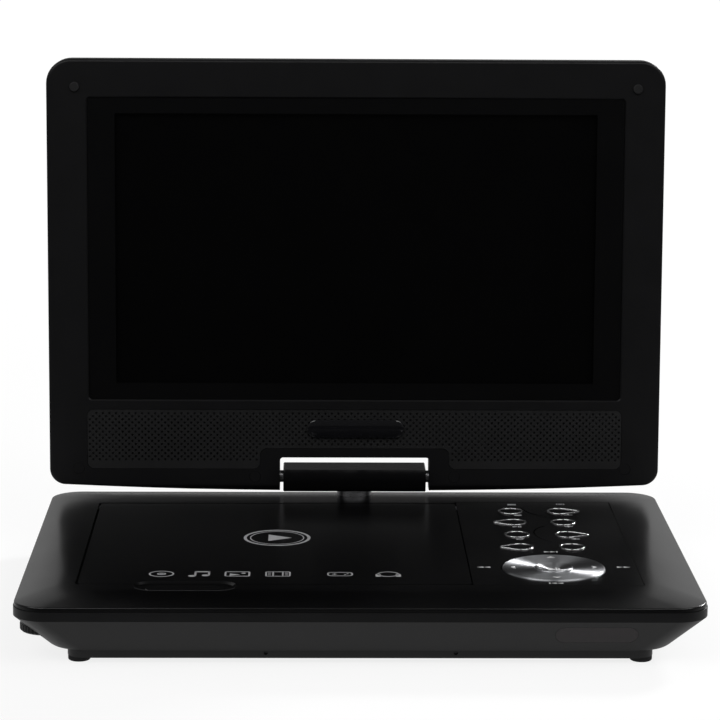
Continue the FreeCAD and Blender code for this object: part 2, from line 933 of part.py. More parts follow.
def base_screws():
    solids = []
    for x, y in screw_spots:
        z = foot_height + screw_head_deep
        low = z - screw_head
        cross = [box(x - a, x + a, y - b, y + b, low - 0.1, low + 0.7) for a, b in ((1.3, 0.3), (0.3, 1.3))]
        head = less(disc(screw_head_r, x, y, low, z), *cross)
        solids.append(join(head, disc(screw_core_r, x, y, z, boss_split_z + 5)))
    return solids


# Disc lid, and the open button with its sprung catch


def disc_lid():
    front = slab(lid_left, lid_right, lid_front, lid_axis_y, lid_corner, lid_under, top_z)
    rear = box(lid_left, lid_right, 0, lid_axis_y, lid_under, top_z)
    barrel = rod(lid_barrel_r, (lid_left, lid_axis_y, lid_axis_z), (lid_right, lid_axis_y, lid_axis_z))
    rings = []
    for r in (lid_ring_r, hub_hole_r + 4):
        outer = disc(r, disc_x, disc_y, lid_under - lid_ring_drop, lid_under)
        rings.append(outer.cut(disc(r - lid_ring_width, disc_x, disc_y, lid_under - OVER, lid_under)))
    x0, x1 = open_x - hook_width / 2, open_x + hook_width / 2
    shank = box(x0, x1, hook_front, hook_back, lip_z, lid_under)
    lip = box(x0, x1, hook_front - hook_lip, hook_front, lip_z, lip_z + hook_lip_thick)
    return less(join(front, rear, barrel, *rings, shank, lip), recess_tool(), *lid_pins(pin_play))


def leaf_points():
    """The catch spring's line in Y and Z: foot, upright leaf, nose over the hook, pushed slope."""
    nose = (hook_front - hook_lip + leaf_lap, lip_z + hook_lip_thick + leaf_gap + 0.45)
    knee = (nose[0] - leaf_reach, nose[1] - leaf_rise)
    foot = (knee[0], knee[1] - leaf_height)
    return [(foot[0] - leaf_foot, foot[1]), foot, knee, nose, (nose[0] - leaf_tail, nose[1] + leaf_tail_rise)]


def bent_strip(points, thick, x0, x1):
    """Sheet of even thickness along X that follows a line of points in Y and Z, round at its bends."""
    pieces = [rod(thick / 2, (x0, y, z), (x1, y, z)) for y, z in points]
    for (ay, az), (by, bz) in zip(points, points[1:]):
        run = math.hypot(by - ay, bz - az)
        ny, nz = -(bz - az) / run * thick / 2, (by - ay) / run * thick / 2
        corner = [(ay + ny, az + nz), (by + ny, bz + nz), (by - ny, bz - nz), (ay - ny, az - nz)]
        pieces.append(prism(corner, x0, x1))
    return join(*pieces)


def catch_screw_spot():
    (y0, z), (y1, _) = leaf_points()[:2]
    return open_x, (y0 + y1) / 2 - 0.4, z + leaf_thick / 2


def catch_spring():
    x, y, z = catch_screw_spot()
    strip = bent_strip(leaf_points(), leaf_thick, open_x - leaf_width / 2, open_x + leaf_width / 2)
    return strip.cut(disc(small_screw_r, x, y, z - OVER, z + OVER))


def open_button():
    top = top_z - recess_depth + open_proud
    cap = pill(open_x, open_y, open_length, open_width, open_low, top)
    cap = cap.makeFillet(0.4, edges_at_z(cap, top))
    length, width = open_length + 2 * open_flange, open_width - open_flange
    flange = pill(open_x, open_y - open_flange, length, width, open_low, open_low + open_flange_thick)
    nose, tail = leaf_points()[-2:]
    slope = (tail[1] - nose[1]) / (nose[0] - tail[0])
    lift = leaf_gap + leaf_thick / 2 * math.hypot(1, slope)
    y0, y1 = tail[0] + 0.2, open_y + open_width / 2 - 0.3
    points = [(y, nose[1] + (nose[0] - y) * slope + lift) for y in (y0, y1)]
    stem = prism(points + [(y1, open_low + 0.1), (y0, open_low + 0.1)], open_x - 2, open_x + 2)
    return join(cap, flange, stem)


# Disc deck


def catch_bracket():
    """The arm under the deck that carries the catch spring: two webs and a shelf."""
    (y0, z), (y1, _) = leaf_points()[:2]
    shelf_top = z - leaf_thick / 2
    low = shelf_top - web_thick
    half = leaf_width / 2 + 0.6
    front, back = y0 - 0.8, hook_back + 2.5
    pieces = [box(open_x - half, open_x + half, front, y1 + 0.6, low, shelf_top)]
    for side in (-1, 1):
        x0, x1 = sorted((open_x + side * half, open_x + side * (half + web_thick)))
        pieces.append(box(x0, x1, front, back, low, open_low_z))
        pieces.append(box(x0, x1, bay_front + 0.6, back, low, deck_under))
    return pieces


def scoop_spots():
    angles = [math.radians(a) for a in scoop_angles]
    return [(disc_x + (well_r - 2) * math.cos(a), disc_y + (well_r - 2) * math.sin(a)) for a in angles]


def disc_deck():
    floor_low = deck_floor_top - deck_thick
    rim_top = top_z - wall - deck_rim_gap
    trough_z = lid_axis_z - lid_barrel_r - trough_gap
    trough_low = trough_z - trough_wall
    back = lid_back + seam + 0.4
    scoop_z = deck_top - scoop_depth
    left, front, end = bay_left - deck_tongue, bay_front - deck_tongue, deck_back - 0.4
    pieces = [
        box(left, bay_right, front, end, deck_under, deck_top),
        box(left, bay_left, front, end, deck_under, rim_top),
        box(left, bay_right, front, bay_front, deck_under, rim_top),
        box(bay_right, bay_right + deck_tongue, bay_front, end, deck_under, panel_floor_z),
        box(bay_left, bay_right, deck_back - trough_wall, deck_back, trough_low, deck_top),
        box(bay_left, bay_right, deck_back - trough_wall, back + trough_wall, trough_low, trough_z),
        box(bay_left, bay_right, back, back + trough_wall, trough_low, rim_top),
        disc(well_r + well_wall, disc_x, disc_y, floor_low, deck_top),
    ]
    pieces += [disc(scoop_r + well_wall, x, y, scoop_z - deck_thick, deck_top) for x, y in scoop_spots()]
    shape = join(*pieces, *catch_bracket())
    x0, x1 = disc_x - window_half, disc_x + window_half
    window = box(x0, x1, disc_y - well_r, disc_y - window_near, floor_low - OVER, deck_top)
    cuts = [disc(well_r, disc_x, disc_y, deck_floor_top, top_z)]
    cuts.append(disc(hub_hole_r, disc_x, disc_y, floor_low - OVER, top_z))
    cuts.append(window.common(disc(well_r - window_margin, disc_x, disc_y, floor_low - OVER, deck_top)))
    cuts += [disc(scoop_r, x, y, scoop_z, top_z) for x, y in scoop_spots()]
    half = open_length / 2 + open_flange + 0.6
    cuts.append(box(open_x - half, open_x + half, front - OVER, bay_front + 0.6, open_low_z, top_z))
    half = hook_width / 2 + 0.5
    cuts.append(box(open_x - half, open_x + half, bay_front, hook_back + 0.6, deck_under - OVER, top_z))
    x, y, z = catch_screw_spot()
    cuts.append(disc(small_screw_r, x, y, z - 4, z))
    return less(shape, *cuts)


# Spindle, sled and their chassis


def rod_ends():
    """Where the guide rods begin and end, inside their blocks."""
    (_, back), (front, _) = rod_blocks
    return front + 0.8, back - 0.8


def mech_chassis():
    x0, x1 = disc_x - chassis_half, disc_x + chassis_half
    y0, y1 = disc_y - chassis_front, disc_y + chassis_back
    plate = slab(x0, x1, y0, y1, 3.0, chassis_z, chassis_top)
    half = rod_reach - 2 * rod_r - 2
    window_y = disc_y - motor_flange_r - 3
    window = slab(disc_x - half, disc_x + half, y0 + 8, window_y, 2.0, chassis_z - OVER, chassis_top + OVER)
    blocks, bores = [], []
    for x in (disc_x - rod_reach, disc_x + rod_reach):
        for y0, y1 in rod_blocks:
            blocks.append(box(x - 2 * rod_r, x + 2 * rod_r, y0, y1, chassis_z, rod_z + rod_r + 0.7))
        bores.append(across(rod_r, x, rod_z, *rod_ends()))
    x, (y0, y1) = lead_screw_x, rod_blocks[1]
    blocks.append(box(x - 2.4, x + 2.4, y0, y1, chassis_z, rod_z + lead_screw_r + 1))
    bores.append(across(lead_screw_r + rod_play, x, rod_z, y0 - OVER, y1 + OVER))
    holes = [disc(damper_neck_r, *spot, chassis_z - OVER, chassis_top + OVER) for spot in damper_spots()]
    return less(join(less(plate, window), *blocks), *bores, *holes)


def mech_dampers():
    """Rubber grommets between the chassis and the housing's posts."""
    bottom, top = chassis_z - 1, chassis_top + 1
    profile = [(damper_pin_r, bottom), (damper_r, bottom), (damper_r, chassis_z), (damper_neck_r, chassis_z)]
    lip_r = damper_r - 0.4
    profile += [(damper_neck_r, chassis_top), (lip_r, chassis_top), (lip_r, top), (damper_pin_r, top)]
    return [turned(profile, x, y) for x, y in damper_spots()]


def spindle_motor():
    """The still half of the spindle motor: flange, wound core and bearing sleeve."""
    bore, flange_top = spindle_shaft_r + spindle_play, chassis_top + 0.8
    low, high = chassis_top + 2.2, rotor_top - rotor_wall - 0.5
    profile = [(bore, chassis_top), (motor_flange_r, chassis_top)]
    profile += [(motor_flange_r, flange_top), (bearing_r, flange_top)]
    profile += [(bearing_r, low), (stator_r, low), (stator_r, high), (bearing_r, high)]
    profile += [(bearing_r, high + 0.2), (bore, high + 0.2)]
    return turned(profile, disc_x, disc_y)


def spindle_rotor():
    """The turning half: cup, shaft and turntable with its centring hub."""
    roof, low = rotor_top - rotor_wall, chassis_top + 1.2
    table_low, hub_top = turntable_top - turntable_thick, turntable_top + hub_height
    profile = [(0, chassis_top + 0.1), (spindle_shaft_r, chassis_top + 0.1), (spindle_shaft_r, roof)]
    profile += [(rotor_r - rotor_wall, roof), (rotor_r - rotor_wall, low), (rotor_r, low), (rotor_r, rotor_top)]
    profile += [(neck_hub_r, rotor_top), (neck_hub_r, table_low)]
    profile += [(turntable_r, table_low), (turntable_r, turntable_top)]
    profile += [(hub_r, turntable_top), (hub_r, hub_top - 0.9), (hub_r - 0.9, hub_top), (0, hub_top)]
    shape = turned(profile, disc_x, disc_y)
    pocket = disc(hub_r - 2.2, disc_x, disc_y, hub_top - 0.6, hub_top + OVER)
    cuts = [pocket.cut(disc(2.0, disc_x, disc_y, hub_top - OVER, hub_top + OVER))]
    x = disc_x + hub_r
    for k in range(3):
        slot = box(x - 2.6, x - 2.0, disc_y - 1.8, disc_y + 1.8, hub_top - 1.6, hub_top + OVER)
        slot.rotate(vec(disc_x, disc_y, 0), Z, 120 * k)
        cuts.append(slot)
    return less(shape, *cuts)


def guide_rods():
    return [across(rod_r, disc_x + side * rod_reach, rod_z, *rod_ends()) for side in (-1, 1)]


def pickup_sled():
    y0, y1 = sled_y - sled_length / 2, sled_y + sled_length / 2
    z0, z1 = rod_z - sled_height / 2, rod_z + sled_height / 2
    body = box(disc_x - sled_width / 2, disc_x + sled_width / 2, y0, y1, z0, z1 + 0.5)
    reach = rod_reach + rod_r + 1
    ears = box(disc_x - reach, disc_x + reach, y0, y1, z0 + 0.3, z1 - 0.3)
    half, end = nut_length / 2, lead_screw_x + lead_screw_r + 0.9
    arm = box(disc_x + rod_reach, end, sled_y - half, sled_y + half, rod_z - 1.9, rod_z + 1.9)
    holder = slab(disc_x - 6, disc_x + 6, sled_y - 5.5, sled_y + 5.5, 1.0, z1, z1 + 0.9)
    tower = disc(lens_r + tower_wall, disc_x, sled_y, z1, lens_top - 0.8)
    bores = [across(rod_r + rod_play, disc_x + s * rod_reach, rod_z, y0 - OVER, y1 + OVER) for s in (-1, 1)]
    bores.append(across(lead_screw_r + rod_play, lead_screw_x, rod_z, y0 - OVER, y1 + OVER))
    lens = disc(lens_r, disc_x, sled_y, lens_top - 1.6, lens_top)
    lens = lens.makeFillet(0.7, edges_at_z(lens, lens_top))
    return less(join(body, ears, arm, holder, tower), *bores, lens), lens


def sled_motor():
    half, y = sled_motor_size / 2, sled_motor_y
    body = box(lead_screw_x - half, lead_screw_x + half, y, y + sled_motor_length, chassis_top, rod_z + half)
    return body.cut(across(lead_screw_r + rod_play, lead_screw_x, rod_z, y - OVER, y + 4))


def lead_screw():
    return across(lead_screw_r, lead_screw_x, rod_z, rod_blocks[1][0] - 0.3, sled_motor_y + 3.6)


# Control panel, keys and direction dial


def panel_plate():
    plate = slab(panel_left, panel_right, panel_front, panel_back, lid_corner / 2, panel_bottom, top_z)
    low, high = panel_bottom - OVER, top_z + OVER
    holes = [key_block(x, y, side, ring_width, low, high) for x, y, side in key_places()]
    return less(plate, *holes, disc(dial_r + dial_play, dial_x, dial_y, low, high), *lid_pins(pin_play))


def key_rings():
    rings = []
    top = top_z + ring_proud
    for x, y, side in key_places():
        outer = key_block(x, y, side, ring_width, panel_bottom, top)
        outer = outer.makeFillet(ring_proud * 0.8, edges_at_z(outer, top))
        rings.append(outer.cut(key_block(x, y, side, 0, panel_bottom - OVER, top_z + OVER)))
    return rings


def key_cap(x, y, side):
    top, flange_top = top_z + key_proud, panel_floor_z - key_rest_gap
    low = flange_top - key_flange_thick
    cap = key_block(x, y, side, -key_play, low, top)
    cap = cap.makeFillet(0.35, edges_at_z(cap, top))
    flange = key_block(x, y, side, key_flange, low, flange_top)
    stem_z = key_board_top + switch_height + key_travel + key_rest_gap
    return join(cap, flange, disc(key_stem_r, x, y, stem_z, flange_top))


def nav_disc():
    top, low, inner = top_z + dial_proud, top_z + dial_proud - dial_thick, ok_r + ok_play
    foot = pivot_z - 0.6
    profile = [(inner, top - dial_dish), (dial_r - 3.0, top - 0.1), (dial_r - 1.6, top)]
    profile += [(dial_r - 0.5, top - 0.35), (dial_r, top - dial_edge), (dial_r, low)]
    profile += [(dial_skirt_r, low), (dial_skirt_r, foot), (inner, foot)]
    reach = dial_skirt_r + OVER
    bore = across(pivot_pin_r + pin_play, dial_x, pivot_z, dial_y - reach, dial_y + reach)
    return less(turned(profile, dial_x, dial_y), bore)


def nav_pivot_ring():
    """The ring between the dial and its posts: it turns on two pins, and the dial turns on two more."""
    z0, z1 = pivot_z - pivot_ring_thick / 2, pivot_z + pivot_ring_thick / 2
    middle = pivot_ring_r - pivot_ring_width / 2
    outer, near = pivot_ring_r + pivot_ring_gap + pivot_post * 0.8, (ok_r + ok_play + dial_skirt_r) / 2
    ring = disc(pivot_ring_r, dial_x, dial_y, z0, z1)
    ring = ring.cut(disc(pivot_ring_r - pivot_ring_width, dial_x, dial_y, z0 - OVER, z1 + OVER))
    pins = []
    for side in (-1, 1):
        x0, x1 = dial_x + side * middle, dial_x + side * outer
        pins.append(rod(pivot_pin_r, (x0, dial_y, pivot_z), (x1, dial_y, pivot_z)))
        pins.append(across(pivot_pin_r, dial_x, pivot_z, dial_y + side * near, dial_y + side * middle))
    return join(ring, *pins)


def ok_button():
    top = top_z + ok_proud
    cap = disc(ok_r, dial_x, dial_y, ok_low, top)
    cap = cap.makeFillet(0.5, edges_at_z(cap, top))
    return join(cap, disc(ok_r + ok_flange, dial_x, dial_y, ok_low, pivot_z - 1.0))


def key_board():
    x0, x1 = panel_left + key_board_margin, panel_right - key_board_margin
    add = [slab(x0, x1, panel_front + 3, panel_back - 3, 1.0, key_board_low, key_board_top)]
    h = switch_size / 2
    for x, y, _ in key_places():
        add.append(box(x - h, x + h, y - h, y + h, key_board_top, key_board_top + switch_height))
    add.append(disc(3.0, dial_x, dial_y, key_board_top, key_board_top + dome_height))
    low, high, near = key_board_low - OVER, key_board_top + OVER, pivot_ring_r + pivot_ring_gap
    holes = [disc(stake_r + 0.1, *spot, low, high) for spot in key_board_spots()]
    for side in (-1, 1):
        x0, x1 = sorted((dial_x + side * near, dial_x + side * (near + pivot_post)))
        add.append(box(x0, x1, dial_y - 1.4, dial_y + 1.4, key_board_top, pivot_z + 1.0))
        holes.append(rod(pivot_pin_r + pin_play, (x0 - 0.2, dial_y, pivot_z), (x1 + 0.2, dial_y, pivot_z)))
    return less(join(*add), *holes)


# Boards, battery and small screws


def main_board():
    z, z1 = main_board_z, main_board_z + board_thick
    board = slab(main_board_left, main_board_right, main_board_front, main_board_back, 1.0, z, z1)
    front, half, low = -half_d + receiver_back, receiver_size / 2, z - receiver_drop
    tab = box(receiver_x - half - 1, receiver_x + half + 1, front, main_board_front + 2, z, z1)
    eye = box(receiver_x - half, receiver_x + half, front, front + 2.6, low, z)
    lens = across(1.6, receiver_x, low + 3, front - 0.7, front + 0.5)
    chips = []
    for x, y, size in main_chips:
        h = size / 2
        chips.append(box(x - h, x + h, y - h, y + h, z - chip_height, z))
    holes = [disc(small_screw_r, x, y, z - OVER, z1 + OVER) for x, y, _ in main_posts()]
    return less(join(board, tab, eye, lens, *chips), *holes)


def jack_board():
    """The board over the jacks, with the power switch's body under it."""
    (_, y0, y1), _ = land_spans()
    z, z1 = jack_board_z, jack_board_z + board_thick
    board = slab(-land_x + jack_nose - 0.6, -jack_board_edge, y0 + 1, y1 + 2, 1.0, z, z1)
    x = -land_x + land_thick + power_flange + 0.8
    middle = power_y + power_travel / 2
    switch = box(x, x + 5, middle - 6, middle + 6, jack_z - 2.2, z)
    holes = [disc(small_screw_r, x, y, z - OVER, z1 + OVER) for x, y, _ in jack_posts()]
    return less(join(board, switch), *holes)


def battery_cells():
    width = (battery_right - battery_left - (cell_count - 1) * cell_gap) / cell_count
    cells, top = [], inner_floor + battery_height
    for k in range(cell_count):
        x = battery_left + k * (width + cell_gap)
        cells.append(slab(x, x + width, battery_front, battery_back, 2.0, inner_floor, top))
    return cells


def small_screw(x, y, z, depth, up):
    """A small screw whose head bears on a face at z, on its upper (1) or lower (-1) side."""
    head = disc(small_head_r, x, y, *sorted((z, z + up * small_head)))
    return join(head, disc(small_screw_r, x, y, *sorted((z + up * 0.2, z - up * depth))))


def inner_screws():
    depth, low = board_thick + 4.5, bearing_top - bearing_thick
    screws = [small_screw(x, y, z + board_thick, depth, 1) for x, y, z in main_posts() + jack_posts()]
    screws += [small_screw(x, y, low, bearing_thick + 1.4, -1) for x, y in bearing_spots()]
    x, y, z = catch_screw_spot()
    return screws + [small_screw(x, y, z, 2.0, 1), small_screw(wheel_x, wheel_y, wheel_high, 4.0, 1)]


# Jacks, sockets, slider and volume wheel


def round_jack(y, bore_r, bore_depth, pin_r):
    """A jack behind the left land: a block with a round nose and a blind bore."""
    front, half = -land_x + jack_nose, jack_body / 2
    body = box(front, front + jack_depth, y - half, y + half, jack_z - half, jack_z + half)
    nose = rod(jack_nose_r, (-land_x, y, jack_z), (front + 1, y, jack_z))
    end = -land_x + bore_depth
    shape = join(body, nose).cut(rod(bore_r, (-land_x - OVER, y, jack_z), (end, y, jack_z)))
    return join(shape, rod(pin_r, (-land_x + 1.0, y, jack_z), (end + 0.5, y, jack_z))) if pin_r else shape


def metal_mouth(y, width, height):
    """A thin metal socket behind the right land, open towards the outside."""
    x0, x1, w, h, t = land_x - port_depth, land_x - 0.2, width / 2, height / 2, port_shell
    shell = box(x0, x1, y - w, y + w, jack_z - h, jack_z + h)
    return shell.cut(box(x0 + 1.0, x1 + OVER, y - w + t, y + w - t, jack_z - h + t, jack_z + h - t))


def usb_socket():
    """A host socket: its metal mouth, with a plastic tongue in the upper half."""
    x0, w, h = land_x - port_depth, usb_width / 2 - 1.2, usb_tongue / 2
    z = jack_z + 1.2
    tongue = box(x0 + 0.5, land_x - 1, usb_y - w, usb_y + w, z - h, z + h)
    return join(metal_mouth(usb_y, usb_width, usb_height), tongue)


def card_slot():
    """The card slot: its metal mouth, a contact ledge at the inner end, and a spacer to the board."""
    x0, w, z = land_x - port_depth, card_width / 2 - 2, jack_z + card_height / 2
    ledge = box(x0 + 0.5, x0 + 4, card_y - w, card_y + w, jack_z + 0.6, z - 0.1)
    spacer = box(x0, x0 + 3, card_y - 8, card_y + 8, z - port_shell / 2, main_board_z)
    return join(metal_mouth(card_y, card_width, card_height), ledge, spacer)


def power_knob():
    """The knob outside the land, its neck through the slot, and a flange behind that keeps it in."""
    y0, y1, h = power_y - power_knob_length / 2, power_y + power_knob_length / 2, power_knob_height / 2
    face = -land_x - power_knob_reach
    knob = box(face, -land_x + land_thick + 0.2, y0, y1, jack_z - h, jack_z + h)
    knob = knob.makeFillet(0.4, edges_at_x(knob, face))
    grips = []
    for y in (power_y - 1.4, power_y, power_y + 1.4):
        grips.append(box(face - 0.1, face + 0.3, y - 0.25, y + 0.25, jack_z - h, jack_z + h))
    x = -land_x + land_thick + 0.1
    flange = box(x, x + power_flange, y0 - 1.2, y1 + 1.2, jack_z - h - 1.2, jack_z + h + 1.2)
    return join(less(knob, *grips), flange)


def volume_wheel():
    z0, z1 = wheel_z - wheel_thick / 2, wheel_z + wheel_thick / 2
    r, e = wheel_r, wheel_edge
    wheel = turned([(0, z0), (r - e, z0), (r, z0 + e), (r, z1 - e), (r - e, z1), (0, z1)], wheel_x, wheel_y)
    cuts = [disc(wheel_axle_r + wheel_bore_play, wheel_x, wheel_y, z0 - OVER, z1 + OVER)]
    for k in range(wheel_notches):
        a = 2 * math.pi * k / wheel_notches
        x, y = wheel_x + wheel_r * math.cos(a), wheel_y + wheel_r * math.sin(a)
        cuts.append(disc(wheel_notch_r, x, y, z0 - OVER, z1 + OVER))
    return less(wheel, *cuts)


def ir_window():
    return slope_block(ir_left, ir_right, ir_low, ir_high, ir_corner, -ir_thick, 0.0)


# Swivel post, its bearing, and the hinge block


def swivel_bearing():
    z0, z1 = bearing_top - bearing_thick, bearing_top
    y0, y1 = swivel_y - bearing_front, swivel_y + bearing_back
    plate = slab(-bearing_half, bearing_half, y0, y1, 2.0, z0, z1)
    bore = disc(journal_r + journal_play, 0, swivel_y, z0 - OVER, z1 + OVER)
    holes = [disc(small_screw_r, x, y, z0 - OVER, z1 + OVER) for x, y in bearing_spots()]
    washer = disc(neck_r - 0.2, 0, swivel_y, z1, z1 + bearing_washer).cut(bore)
    return less(plate, bore, *holes), washer


def hinge_core():
    y = hinge_core_depth / 2
    return box(-hinge_core_half, hinge_core_half, -y, y, -hinge_core_low, hinge_core_high)


def hinge_block(split_low, split_high):
    """The hinge block between two heights above the axle: a round bar cut flat above and below."""
    bar = rod(block_r, (-block_half, 0, 0), (block_half, 0, 0))
    bar = bar.common(box(-FAR, FAR, -FAR, FAR, -block_low, block_high))
    bar = bar.makeFillet(block_edge, edges_at_x(bar, -block_half) + edges_at_x(bar, block_half))
    bar = bar.common(box(-FAR, FAR, -FAR, FAR, split_low, split_high))
    channel = rod(axle_r + axle_channel_play, (-FAR, 0, 0), (FAR, 0, 0))
    post = disc(journal_r, 0, 0, -block_low - OVER, -hinge_core_low)
    return moved(less(bar, hinge_core(), channel, post), 0, swivel_y, axle_z)


def swivel_post():
    """The hollow post with the core that holds the axles, and the nut under the bearing."""
    near = hinge_core_half - axle_seat
    seats = [rod(axle_r, (side * near, 0, 0), (side * FAR, 0, 0)) for side in (-1, 1)]
    low = bearing_top - bearing_thick - nut_gap - nut_thick - axle_z
    post = disc(journal_r, 0, 0, low, -hinge_core_low)
    neck = disc(neck_r, 0, 0, top_z - neck_step - axle_z, -block_low)
    bore = disc(cable_bore_r, 0, 0, low - OVER, hinge_core_high + OVER)
    shape = less(join(hinge_core(), post, neck), *seats, bore)
    turns = [math.radians(60 * k) for k in range(6)]
    corner = [vec(nut_r * math.cos(a), nut_r * math.sin(a), low) for a in turns]
    nut = Part.Face(Part.makePolygon(corner + corner[:1])).extrude(vec(0, 0, nut_thick))
    nut = nut.cut(disc(journal_r, 0, 0, low - OVER, low + nut_thick + OVER))
    return [moved(s, 0, swivel_y, axle_z) for s in (shape, nut)]


def tilt_axles():
    start, end = hinge_core_half - axle_seat, bracket_x + bracket_width + axle_past_bracket
    return [rod(axle_r, (side * start, swivel_y, axle_z), (side * end, swivel_y, axle_z)) for side in (-1, 1)]


# Screen, in its own frame: the tilt axle is the X axis, and Z runs up the screen


def to_place(shape):
    shape = shape.copy()
    shape.rotate(ORIGIN, X, -lean_deg)
    return moved(shape, 0, swivel_y, axle_z)


def arc_points(cx, cy, r, start, end):
    angles = [math.radians(start + (end - start) * k / 2) for k in range(3)]
    return [(cx + r * math.cos(a), cy + r * math.sin(a)) for a in angles]


def screen_wire(inset, y):
    """The screen's outline, set in evenly: straight top and sides, a shallow arc below."""
    half, rise = half_screen, screen_low_mid - screen_low_side
    big = (screen_low_x**2 + rise**2) / (2 * rise)
    big_z = big - screen_low_mid
    cx = half - screen_corner_low
    cz = big_z - math.sqrt((big - screen_corner_low) ** 2 - cx**2)
    turn = math.degrees(math.atan2(cz - big_z, cx))
    tx, tz = half - screen_corner_top, screen_top - screen_corner_top
    low_r, top_r = screen_corner_low - inset, screen_corner_top - inset
    arcs = [
        arc_points(cx, cz, low_r, turn, 0),
        arc_points(tx, tz, top_r, 0, 90),
        arc_points(-tx, tz, top_r, 90, 180),
        arc_points(-cx, cz, low_r, 180, 180 - turn),
    ]
    arcs.append([arcs[-1][-1], (0, big_z - big + inset), arcs[0][0]])
    parts = []
    for k, arc in enumerate(arcs):
        parts += [arc, [arc[-1], arcs[(k + 1) % len(arcs)][0]]]
    return wire_of(parts, lambda x, z: vec(x, y, z))


def screen_slab(inset, y0, y1):
    return Part.Face(screen_wire(inset, y0)).extrude(vec(0, y1 - y0, 0))


def swing_room(r):
    """The room in which the screen's lower edge can turn: all above the axle, and a bar round it."""
    return box(-FAR, FAR, -FAR, FAR, 0, FAR).fuse(rod(r, (-FAR, 0, 0), (FAR, 0, 0)))


def screen_outer():
    block = screen_slab(0, screen_front, screen_back)
    block = block.makeFillet(bezel_edge, edges_at_y(block, screen_front))
    block = block.makeFillet(back_edge, edges_at_y(block, screen_back))
    front, back = screen_front - OVER, screen_back + OVER
    notch = pane(-notch_half, notch_half, -FAR, notch_top, notch_corner, front, back)
    return block.common(swing_room(swing_r)).cut(notch)


def screen_cavity():
    block = screen_slab(screen_wall, bezel_inner, cover_inner).common(swing_room(swing_r - bezel_wall))
    reach = notch_half + screen_wall
    return block.cut(box(-reach, reach, -FAR, FAR, -FAR, notch_top + screen_wall))


def screen_half(y0, y1):
    """The screen's hollow case between two depths, with room for the axles and their brackets."""
    shape = screen_outer().common(box(-FAR, FAR, y0, y1, -FAR, FAR)).cut(screen_cavity())
    near = notch_half + screen_wall
    far = bracket_x + bracket_width + bracket_gap
    room = [rod(bracket_r + bracket_room, (side * near, 0, 0), (side * far, 0, 0)) for side in (-1, 1)]
    room.append(rod(axle_r + 4 * axle_channel_play, (-near - OVER, 0, 0), (near + OVER, 0, 0)))
    return less(shape, *room)


def grille_block(play, y0, y1):
    """The grille's stepped outline, from the left low corner round."""
    a, b = grille_half - play, grille_step_half + play
    low, step, high = grille_low + play, grille_step_z + play, grille_high - play
    points = [(-a, low), (-b, low), (-b, step), (b, step), (b, low), (a, low), (a, high), (-a, high)]
    return Part.Face(rounded(points, grille_corner, lambda x, z: vec(x, y0, z))).extrude(vec(0, y1 - y0, 0))


def case_screw_spots():
    return [(side * case_screw_x, z) for side in (-1, 1) for z in case_screw_z]


def bracket_screw_spots():
    return [(side * (bracket_x + bracket_width / 2), z) for side in (-1, 1) for z in bracket_screw_z]


def opening_bevel_tool():
    wires = []
    for grow, y in ((opening_bevel, screen_front), (0.0, screen_front + opening_bevel)):
        a = opening_half + grow
        points = corners(-a, a, opening_low - grow, opening_high + grow)
        wires.append(rounded(points, opening_corner + grow, lambda x, z, y=y: vec(x, y, z)))
    return Part.makeLoft(wires, True, True)


def front_bezel():
    boss_end = screen_parting - shell_gap
    bosses = [across(case_boss_r, x, z, bezel_inner, boss_end) for x, z in case_screw_spots()]
    shape = join(screen_half(-FAR, screen_parting), *bosses)
    a, front, through = opening_half, screen_front - OVER, bezel_inner + OVER
    groove = screen_slab(-OVER, screen_parting - parting_groove, screen_parting + OVER)
    cuts = [
        pane(-a, a, opening_low, opening_high, opening_corner, front, through),
        opening_bevel_tool(),
        grille_block(0, front, screen_front + grille_recess + grille_thick),
        groove.cut(screen_slab(parting_groove, -FAR, FAR)),
    ]
    rim = speaker_rim + 0.3
    for side in (-1, 1):
        x0, x1 = side * speaker_x - speaker_half + rim, side * speaker_x + speaker_half - rim
        low, high = speaker_low + rim, speaker_high - rim
        cuts.append(pane(x0, x1, low, high, speaker_corner, screen_front, through))
        cuts.append(across(bumper_r, side * bumper_x, bumper_z, front, screen_front + bumper_seat))
    cuts += [across(plug_r, x, z, front, screen_front + plug_seat) for x, z in plug_spots]
    low, high = bezel_inner + 0.5, screen_parting + OVER
    cuts += [across(screw_core_r, x, z, low, high) for x, z in case_screw_spots()]
    return less(shape, *cuts)


def display_post_spots():
    x, low, high = active_half - 8, active_low + 10, active_high - 10
    return [(sx * x, z) for sx in (-1, 1) for z in (low, high)] + [(0, high)]


def back_cover():
    bosses = [across(case_boss_r, x, z, screen_parting, cover_inner) for x, z in case_screw_spots()]
    bosses += [across(display_post_r, x, z, backlight_back, cover_inner) for x, z in display_post_spots()]
    cuts = []
    for x, z in case_screw_spots() + bracket_screw_spots():
        cuts.append(across(case_head_r + 0.1, x, z, screen_back - case_head_deep, screen_back + OVER))
        cuts.append(across(screw_core_r + 0.1, x, z, screen_parting - OVER, screen_back))
    return less(join(screen_half(screen_parting, FAR), *bosses), *cuts)


def screen_screws():
    spots = [(x, z, bezel_inner + 1.0) for x, z in case_screw_spots()]
    spots += [(x, z, cover_inner - bracket_plate) for x, z in bracket_screw_spots()]
    seat, screws = screen_back - case_head_deep, []
    low = screen_back - 0.7
    for x, z, tip in spots:
        cross = [box(x - a, x + a, low, screen_back, z - b, z + b) for a, b in ((1.2, 0.3), (0.3, 1.2))]
        head = less(across(case_head_r, x, z, seat, screen_back - 0.2), *cross)
        screws.append(join(head, across(screw_core_r, x, z, tip, seat)))
    return screws


